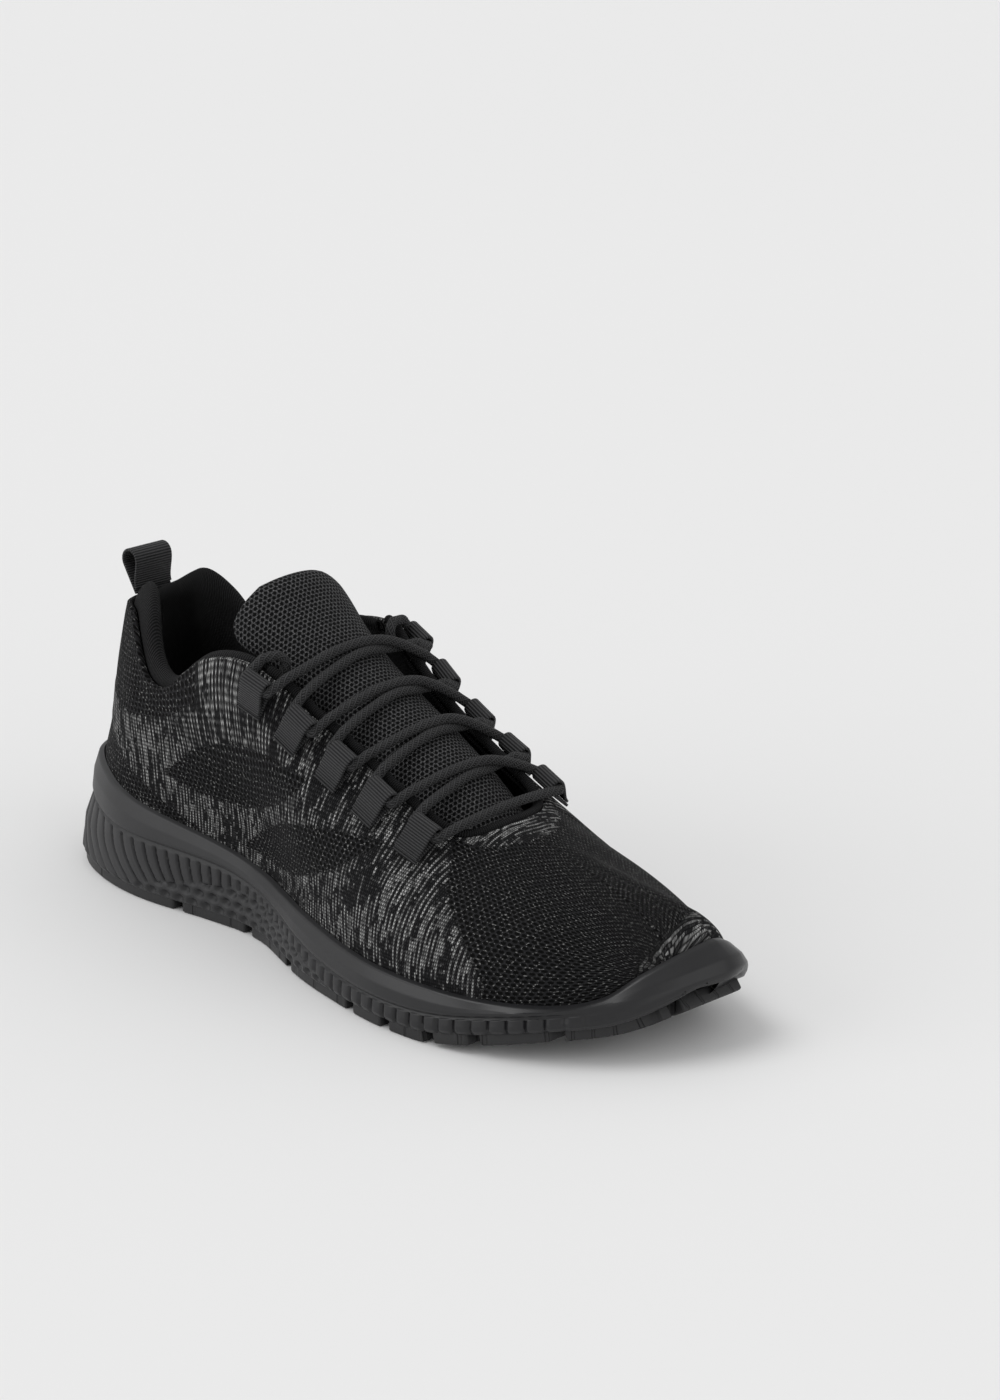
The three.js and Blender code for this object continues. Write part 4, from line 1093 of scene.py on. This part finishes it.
TONGUE_SIDES, TONGUE_ROWS = 96, 130
tongue, u, v = flat_grid("padded_tongue", TONGUE_SIDES, TONGUE_ROWS)
turn = 2 * math.pi * u - math.pi / 2   # the seam of the map lies on the underside
along = np.clip(v, 0, 1)
thick = TONGUE_MESH + LAYER_GAP + tongue_foam(along) + FIT_GAP + LINING
across = np.sign(np.cos(turn)) * np.abs(np.cos(turn)) ** 0.75
over = np.sign(np.sin(turn)) * np.abs(np.sin(turn)) ** 0.55
closing = np.sqrt(np.clip(1 - ((v - 0.94) / 0.06).clip(0, 1) ** 2, 0.0004, 1))
swell = 0.35 * (1 - np.abs(across) ** 4) * smoothstep(v, 0.05, 0.3)
depth = thick / 2 - thick / 2 * over * closing - np.where(over > 0, swell * over, 0)
arch = tongue_arch(along)
wider = arch[:, 0] + TONGUE_TUCK * (1 - smoothstep(along, 0.45, 0.62))
stretch = np.arcsin(wider / arch[:, 1]) / np.arcsin(arch[:, 0] / arch[:, 1])
points = tongue_point(along, across * stretch, depth)
rings = points.reshape(TONGUE_ROWS + 1, TONGUE_SIDES + 1, 3)
steps = np.linalg.norm(np.diff(rings, axis=1), axis=2)
round_section = np.concatenate([np.zeros((TONGUE_ROWS + 1, 1)), np.cumsum(steps, axis=1)], axis=1)
side_u = (round_section - round_section[:, TONGUE_SIDES // 2:TONGUE_SIDES // 2 + 1]).ravel()
carried(tongue, points, np.stack([side_u, v * tongue_length], -1), inside_out=False)
welded(tongue)
ends_closed(tongue)
smooth(tongue, 60)
dressed(tongue, mesh_look, "tongue_mesh", "tongue", "tongue_mesh", "tongue_foam", "tongue_lining")


# %% [markdown]
# ## Webbing loops
#
# Ten short loops of grosgrain carry the lace and one longer loop at the heel helps to pull the
# shoe on. A loop is a flat tape: out of a slit in the knit, round the cord and back. A tape is
# modelled once as a flat strip, bent along its path, given its thickness and its soft edges, and
# copied to each place.

# %% Grosgrain finish
tape_look = Look("grosgrain", Specular_IOR_Level=0.2, Sheen_Weight=0.03, Sheen_Roughness=0.4)
u_mm, v_mm = tape_look.cloth()
cross_rib = 1 - ((v_mm / 0.95).part() - 0.5).size() * 2
fine = tape_look.noise(u_mm * 3, v_mm * 1.2, detail=2.0)
# The grooves between the cross ribs are painted near black: painted shade in the grooves.
tape_look.paint(
    Base_Color=tape_look.mix(cross_rib * (fine * 0.5 + 0.6), (0.0015, 0.0015, 0.002), (0.07, 0.07, 0.072)),
    Roughness=0.72 - cross_rib * 0.14,
)
tape_look.relief(cross_rib * 0.9 + fine * 0.1, 0.0005)


# %% Bend a tape into a loop
def tape_path(length, opening, webbing, steps=60):
    """Side view of the tape's middle line: out along the leg, round the cord and back."""
    radius = opening + webbing / 2
    start = length * 0.12
    leg = np.stack([np.linspace(0, length, steps), np.full(steps, webbing / 2)], -1)
    turn = np.linspace(-math.pi / 2, math.pi / 2, steps)[1:]
    fold = np.stack([length + radius * np.cos(turn), webbing / 2 + radius + radius * np.sin(turn)], -1)
    share = np.linspace(0, 1, steps)[1:]
    ease = share * share * (3 - 2 * share)
    home = np.stack([blended(length, start, share),
                     blended(webbing / 2 + 2 * radius, webbing * 1.55, ease)], -1)
    path = np.vstack([leg, fold, home])
    reach = distance_along(path)
    return path, reach


def taped_loop(name, length, opening, webbing, width):
    path, reach = tape_path(length, opening, webbing)
    piece, u, v = flat_grid(name, 10, 90)
    at = v * reach[-1]
    points = np.stack([np.interp(at, reach, path[:, 0]), np.interp(at, reach, path[:, 1]),
                       (u - 0.5) * (width - 0.2)], -1)
    carried(piece, points, np.stack([u * width, at], -1))
    piece.data.transform(Matrix.Translation(-HEEL))
    with_modifier(piece, "SOLIDIFY", thickness=webbing * 0.96 * MM, offset=0, use_even_offset=True)
    with_modifier(piece, "BEVEL", width=webbing * 0.3 * MM, segments=2, limit_method="ANGLE")
    smooth(piece, 50)
    return piece


def copied_to(piece, name, foot, forward, outward):
    """A copy with its own mesh, its leg along forward and its fold standing outward."""
    copy = piece.copy()
    copy.data = piece.data.copy()
    copy.name = copy.data.name = name
    bpy.context.scene.collection.objects.link(copy)
    forward, outward = Vector(forward), Vector(outward)
    turned = Matrix((forward, outward, forward.cross(outward))).transposed().to_4x4()
    copy.data.transform(Matrix.Translation(Vector(foot) * MM + HEEL) @ turned)
    return copy


# %% Where the lace loops stand
LOOPS_PER_SIDE, FIRST_LOOP_X, LAST_LOOP_X = 5, 128.0, 204.0
LOOP_TAPE, LOOP_WIDTH, LOOP_LENGTH, LOOP_SETBACK = 1.1, 10.5, 12.0, 3.5
CORD_TUNNEL = CORD_RADIUS + 0.35
CORD_HEIGHT = FIT_GAP + LOOP_TAPE + CORD_TUNNEL


def bisected(low, high, is_high):
    for _ in range(40):
        middle = (low + high) / 2
        low, high = (low, middle) if is_high(middle) else (middle, high)
    return (low + high) / 2


def loop_frame_at(side, place):
    place = np.asarray(place, float)
    reach = np.linalg.norm(surface_point(place, 0.8) - edge_point(place)) / 0.2
    rise = np.asarray(1 - (LOOP_SETBACK + LOOP_LENGTH / 2) / reach)
    outward = surface_normal(place, rise)
    turn = 1 if side < 0 else -1
    ahead = (edge_point(place + 0.02) - edge_point(place - 0.02)) * turn
    toeward = unit(ahead - outward * (ahead @ outward))
    inward = np.cross(outward, toeward) * turn
    foot = surface_point(place, rise) + outward * FIT_GAP - inward * LOOP_LENGTH / 2
    cord = foot + inward * LOOP_LENGTH + outward * (CORD_HEIGHT - FIT_GAP)
    return {"foot": foot, "cord": cord, "inward": inward, "outward": outward, "toeward": toeward}


def throat_place(side, x, point_at):
    low, high = (COLLAR_END - 0.08, 0.75) if side < 0 else (1.25, 2 - COLLAR_END + 0.08)
    return bisected(low, high, lambda place: (point_at(place)[0] > x) == (side < 0))


def loop_frame(side, index):
    x = FIRST_LOOP_X + (LAST_LOOP_X - FIRST_LOOP_X) * index / (LOOPS_PER_SIDE - 1)
    return loop_frame_at(side, throat_place(side, x, lambda place: loop_frame_at(side, place)["cord"]))


frames = {side: [loop_frame(side, index) for index in range(LOOPS_PER_SIDE)] for side in (-1, 1)}
model_loop = taped_loop("lace_loop_model", LOOP_LENGTH, CORD_TUNNEL, LOOP_TAPE, LOOP_WIDTH)
for side, label in ((-1, "lateral"), (1, "medial")):
    for index, spot in enumerate(frames[side]):
        name = f"lace_loop_{label}_{index + 1}"
        loop = copied_to(model_loop, "tape_" + name, spot["foot"], spot["inward"], spot["outward"])
        dressed(loop, tape_look, "webbing", "shoe", name)
bpy.data.objects.remove(model_loop)

# %% Pull tab
TAB_LENGTH, TAB_OPENING, TAB_TAPE, TAB_WIDTH, TAB_LEAN = 11.5, 3.4, 1.05, 17.0, math.radians(33)
TAB_SUNK = 0.2   # how far its ends go in behind the lining
tab_up = Vector((-math.sin(TAB_LEAN), 0, math.cos(TAB_LEAN)))
tab_in = Vector((math.cos(TAB_LEAN), 0, math.sin(TAB_LEAN)))
tab_foot = Vector(edge_point(np.asarray(0.0))) + Vector((0, 2, 0)) - tab_up * TAB_SUNK
model_tab = taped_loop("pull_tab_model", TAB_LENGTH + TAB_SUNK + FIT_GAP, TAB_OPENING, TAB_TAPE, TAB_WIDTH)
tab = copied_to(model_tab, "tape_pull_tab", tab_foot, tab_up, tab_in)
dressed(tab, tape_look, "webbing", "pull_tab", "pull_tab")
bpy.data.objects.remove(model_tab)

# %% [markdown]
# ## The lace
#
# The lace is one elastic cord, braided over a rubber core. It starts tucked in beside the tongue,
# goes through the loops in turn, crosses the tongue from side to side down to the toe, and comes
# back to the loop across from its start. It is held all the way, so its route is the one that the
# solids in the frame use: straight through each loop, up over the bound edge, and over the arch.

# %% Braid finish
braid_look = Look("braided_cord", Specular_IOR_Level=0.2, Sheen_Weight=0.03, Sheen_Roughness=0.4)
u_mm, v_mm = braid_look.cloth()
STRAND = 1.1
left = 1 - (((u_mm + v_mm * 0.75) / STRAND).part() - 0.5).size() * 2
right_hand = 1 - (((u_mm - v_mm * 0.75) / STRAND).part() - 0.5).size() * 2
over_under = (((u_mm + v_mm * 0.75) / (2 * STRAND)).part() - 0.5).rise(-0.05, 0.05)
strand = left * over_under + right_hand * (1 - over_under)
fuzz = braid_look.noise(u_mm * 2.5, v_mm * 2.5, detail=2.0)
# Between the strands the braid is painted near black: painted shade between the strands.
braid_look.paint(
    Base_Color=braid_look.mix(strand * (fuzz * 0.5 + 0.65), (0.0012, 0.0012, 0.0015), (0.07, 0.07, 0.072)),
    Roughness=0.7 + fuzz * 0.12,
)
braid_look.relief(strand, 0.0005)

# %% Route of the lace
LOOP_EXIT = (LOOP_WIDTH + 2 * CORD_RADIUS) / 2 + 0.15
LACE_RUN = [[0.3, 0.9], [0.45, 2.7], [0.6, 4], [0.75, 3.5]]
LACE_LEAN = 1.6
CORD_EDGE_LIFT = 0.95


def over_tongue(x, y, lift):
    """The point over the tongue's skin at a distance from the heel and from the middle."""
    along = np.arange(0.04, 0.98, 0.002)
    arch = tongue_arch(along)
    angle = np.arcsin((y - TONGUE_MIDDLE) / (arch[:, 1] + lift))
    across = angle / np.arcsin(arch[:, 0] / arch[:, 1])
    points = tongue_point(along, across, np.full_like(along, -lift))
    return points[np.argmin(np.abs(points[:, 0] - x))]


def over_binding(side, x):
    place = np.asarray(throat_place(side, x, edge_point))
    lift = 2 * CORD_RADIUS + CORD_EDGE_LIFT
    return under_surface(place, 1.0, -lift) + edge_direction(place) * BINDING_RADIUS


def lace_run(outer, inner, on_top, leans):
    start, stop = over_binding(-1, outer[0]), over_binding(1, inner[0])
    rest = CORD_RADIUS + LAYER_GAP + FIT_GAP
    points = [start]
    for part, top_lift in LACE_RUN:
        lift = top_lift if on_top else 0
        x = blended(outer[0], inner[0], part ** LACE_LEAN if leans else part)
        point = over_tongue(x, blended(outer[1], inner[1], part), rest + lift)
        point[2] = max(point[2], blended(start[2], stop[2], part) + lift)
        points.append(point)
    return [*points, stop]


def loop_end(side, index, way):
    spot = frames[side][index]
    return spot["cord"] + spot["toeward"] * way * LOOP_EXIT


def crossing(near, start, stop):
    outer, inner = (start, stop) if near < 0 else (stop, start)
    run = lace_run(outer, inner, outer[0] < inner[0], True)
    return run if near < 0 else run[::-1]


def tucked_end(side):
    spot = frames[side][0]
    edge = edge_point(np.asarray(throat_place(side, spot["cord"][0], edge_point)))
    over = over_binding(side, spot["cord"][0] - LOOP_EXIT) + np.array([0, 0, 2])
    return [over, edge + [0, -side * 7.8, 4.2], edge + [0, -side * 5.6, -4.5]]


route = [*tucked_end(-1)[::-1], loop_end(-1, 0, -1)]
for index in range(LOOPS_PER_SIDE - 1):
    near = -1 if index % 2 == 0 else 1
    start, stop = loop_end(near, index, 1), loop_end(-near, index + 1, -1)
    route += [start, *crossing(near, start, stop), stop]
last = LOOPS_PER_SIDE - 1
bar_start, bar_stop = loop_end(-1, last, 1), loop_end(1, last, 1)
route += [bar_start, *lace_run(bar_start, bar_stop, False, False), bar_stop]
for index in range(last, 0, -1):
    near = 1 if index % 2 == 0 else -1
    start, stop = loop_end(near, index, -1), loop_end(-near, index - 1, 1)
    route += [start, *crossing(near, start, stop), stop]
route += [loop_end(1, 0, -1), *tucked_end(1)]
print("points on the lace's route:", len(route))

# %% Pull the lace snug
def pushed_out(path, tree, gap, held):
    """Moves free points that are nearer than gap to a cloud of points away from it."""
    for k in np.flatnonzero(~held):
        near, _, distance = tree.find(path[k])
        if distance < gap:
            away = Vector(path[k]) - near
            if away.length < 1e-6:
                away = Vector((0, 0, 1))
            path[k] += np.array(away.normalized()) * (gap - distance)


def point_tree(points):
    tree = KDTree(len(points))
    for k, point in enumerate(points):
        tree.insert(point, k)
    tree.balance()
    return tree


def snug(path, rounds=90, tie=6.2):
    """Tightens a cord that its loops hold, over the tongue, the piping and itself."""
    loops = np.array([spot["cord"] for side in frames.values() for spot in side])
    held = np.min(np.linalg.norm(path[:, None] - loops[None], axis=2), axis=1) < tie
    held[:9] = held[-9:] = True
    grid_u, grid_v = np.meshgrid(np.linspace(-1, 1, 61), np.linspace(0, 1, 181))
    skin = point_tree(tongue_point(grid_v.ravel(), grid_u.ravel(), np.full(grid_u.size, -0.35)))
    piping_tree = point_tree(even_line(piping_line, 0.7)[0])
    for step in range(rounds):
        middle = (path[:-2] + path[2:]) / 2
        path[1:-1] += np.where(held[1:-1, None], 0, 0.9 * (middle - path[1:-1]))
        if step % 3 == 2:
            pushed_out(path, skin, CORD_RADIUS + 0.15, held)
            pushed_out(path, piping_tree, CORD_RADIUS + BINDING_RADIUS + 0.05, held)
            apart_from_itself(path, held)
    return path


def apart_from_itself(path, held):
    """Where two runs cross, the upper one is lifted and the lower one pressed down."""
    gap = 2 * CORD_RADIUS + 0.02
    apart = np.linalg.norm(path[:, None] - path[None], axis=2)
    index = np.arange(len(path))
    apart[np.abs(index[:, None] - index[None]) < 6] = 99
    for k in np.flatnonzero((apart.min(axis=1) < gap) & ~held):
        other = apart[k].argmin()
        away = path[k] - path[other]
        length = np.linalg.norm(away)
        path[k] += away / max(length, 1e-6) * (gap - length) * 0.5


# %% Build the lace
route, _ = even_line(route, 1.6)
route = snug(route)
lace = rolled_cord("elastic_lace", route, CORD_RADIUS, sides=16, spacing=0.5)
dressed(lace, braid_look, "cord", None, "lace")
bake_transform(lace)

# %% [markdown]
# ## Inside the shoe
#
# The sock liner is a thin foam sheet with a brushed cloth on it. It shows through the opening.
# Under it lie a board, and stiffeners that hold the heel and the toe in shape.

# %% Sock liner
BOARD, LINER_PLAY = 1.6, 0.15
liner, u, v = flat_grid("sock_liner_cloth", 300, 30)
place = 2 * u
point, _ = outline_at(place)
x = point[:, 0]
edge_inset = top_inset(x) + FIT_GAP + LINING_DEPTH + LINING + LINER_PLAY
bed = bed_line(x) + FIT_GAP + BOARD + FIT_GAP
rounding = np.clip((v - 0.55) / 0.1, 0, 1)
inset = edge_inset + np.where(v > 0.5, 0.6 * (1 - np.sqrt(np.clip(1 - rounding ** 2, 0, 1))), 0)
height = bed + 3.5 * np.clip((v - 0.4) / 0.2, 0, 1)
gather = np.where(v < 0.4, 1 - v / 0.4, np.where(v > 0.65, (v - 0.65) / 0.35, 0))
points = sole_point(place, inset, height)
partner = sole_point(2 - place, inset, height)
points = blended(points, (points + partner) / 2, gather[:, None])
carried(liner, points, points[:, :2].copy(), inside_out=True)
welded(liner)
smooth(liner, 40)
dressed(liner, sock_look, "sock_fabric", "shoe", "sock_liner")


# %% Hidden pieces
def fibre_look(name, tone, grain_size):
    look = Look(name, Specular_IOR_Level=0.2)
    x, y, z = look.place()
    fibres = look.noise(x / grain_size, y / (grain_size * 3), z / grain_size, detail=4.0)
    light_tone = tuple(min(1.2 * c, 1) for c in tone)
    dark_tone = tuple(0.7 * c for c in tone)
    look.paint(Base_Color=look.mix(fibres, dark_tone, light_tone), Roughness=0.8 + fibres * 0.1)
    look.relief(fibres, 0.0003)
    return look


board_look = fibre_look("insole_board", (0.28, 0.26, 0.24), 0.5)
stiff_look = fibre_look("stiffener", (0.2, 0.19, 0.17), 0.8)
for name, look, slot in (("strobel_board", board_look, "board"), ("heel_counter", stiff_look, "stiffener"),
                         ("toe_puff", stiff_look, "stiffener")):
    node = frame["nodes"][name]
    node.data.materials.clear()
    node.data.materials.append(look.material)
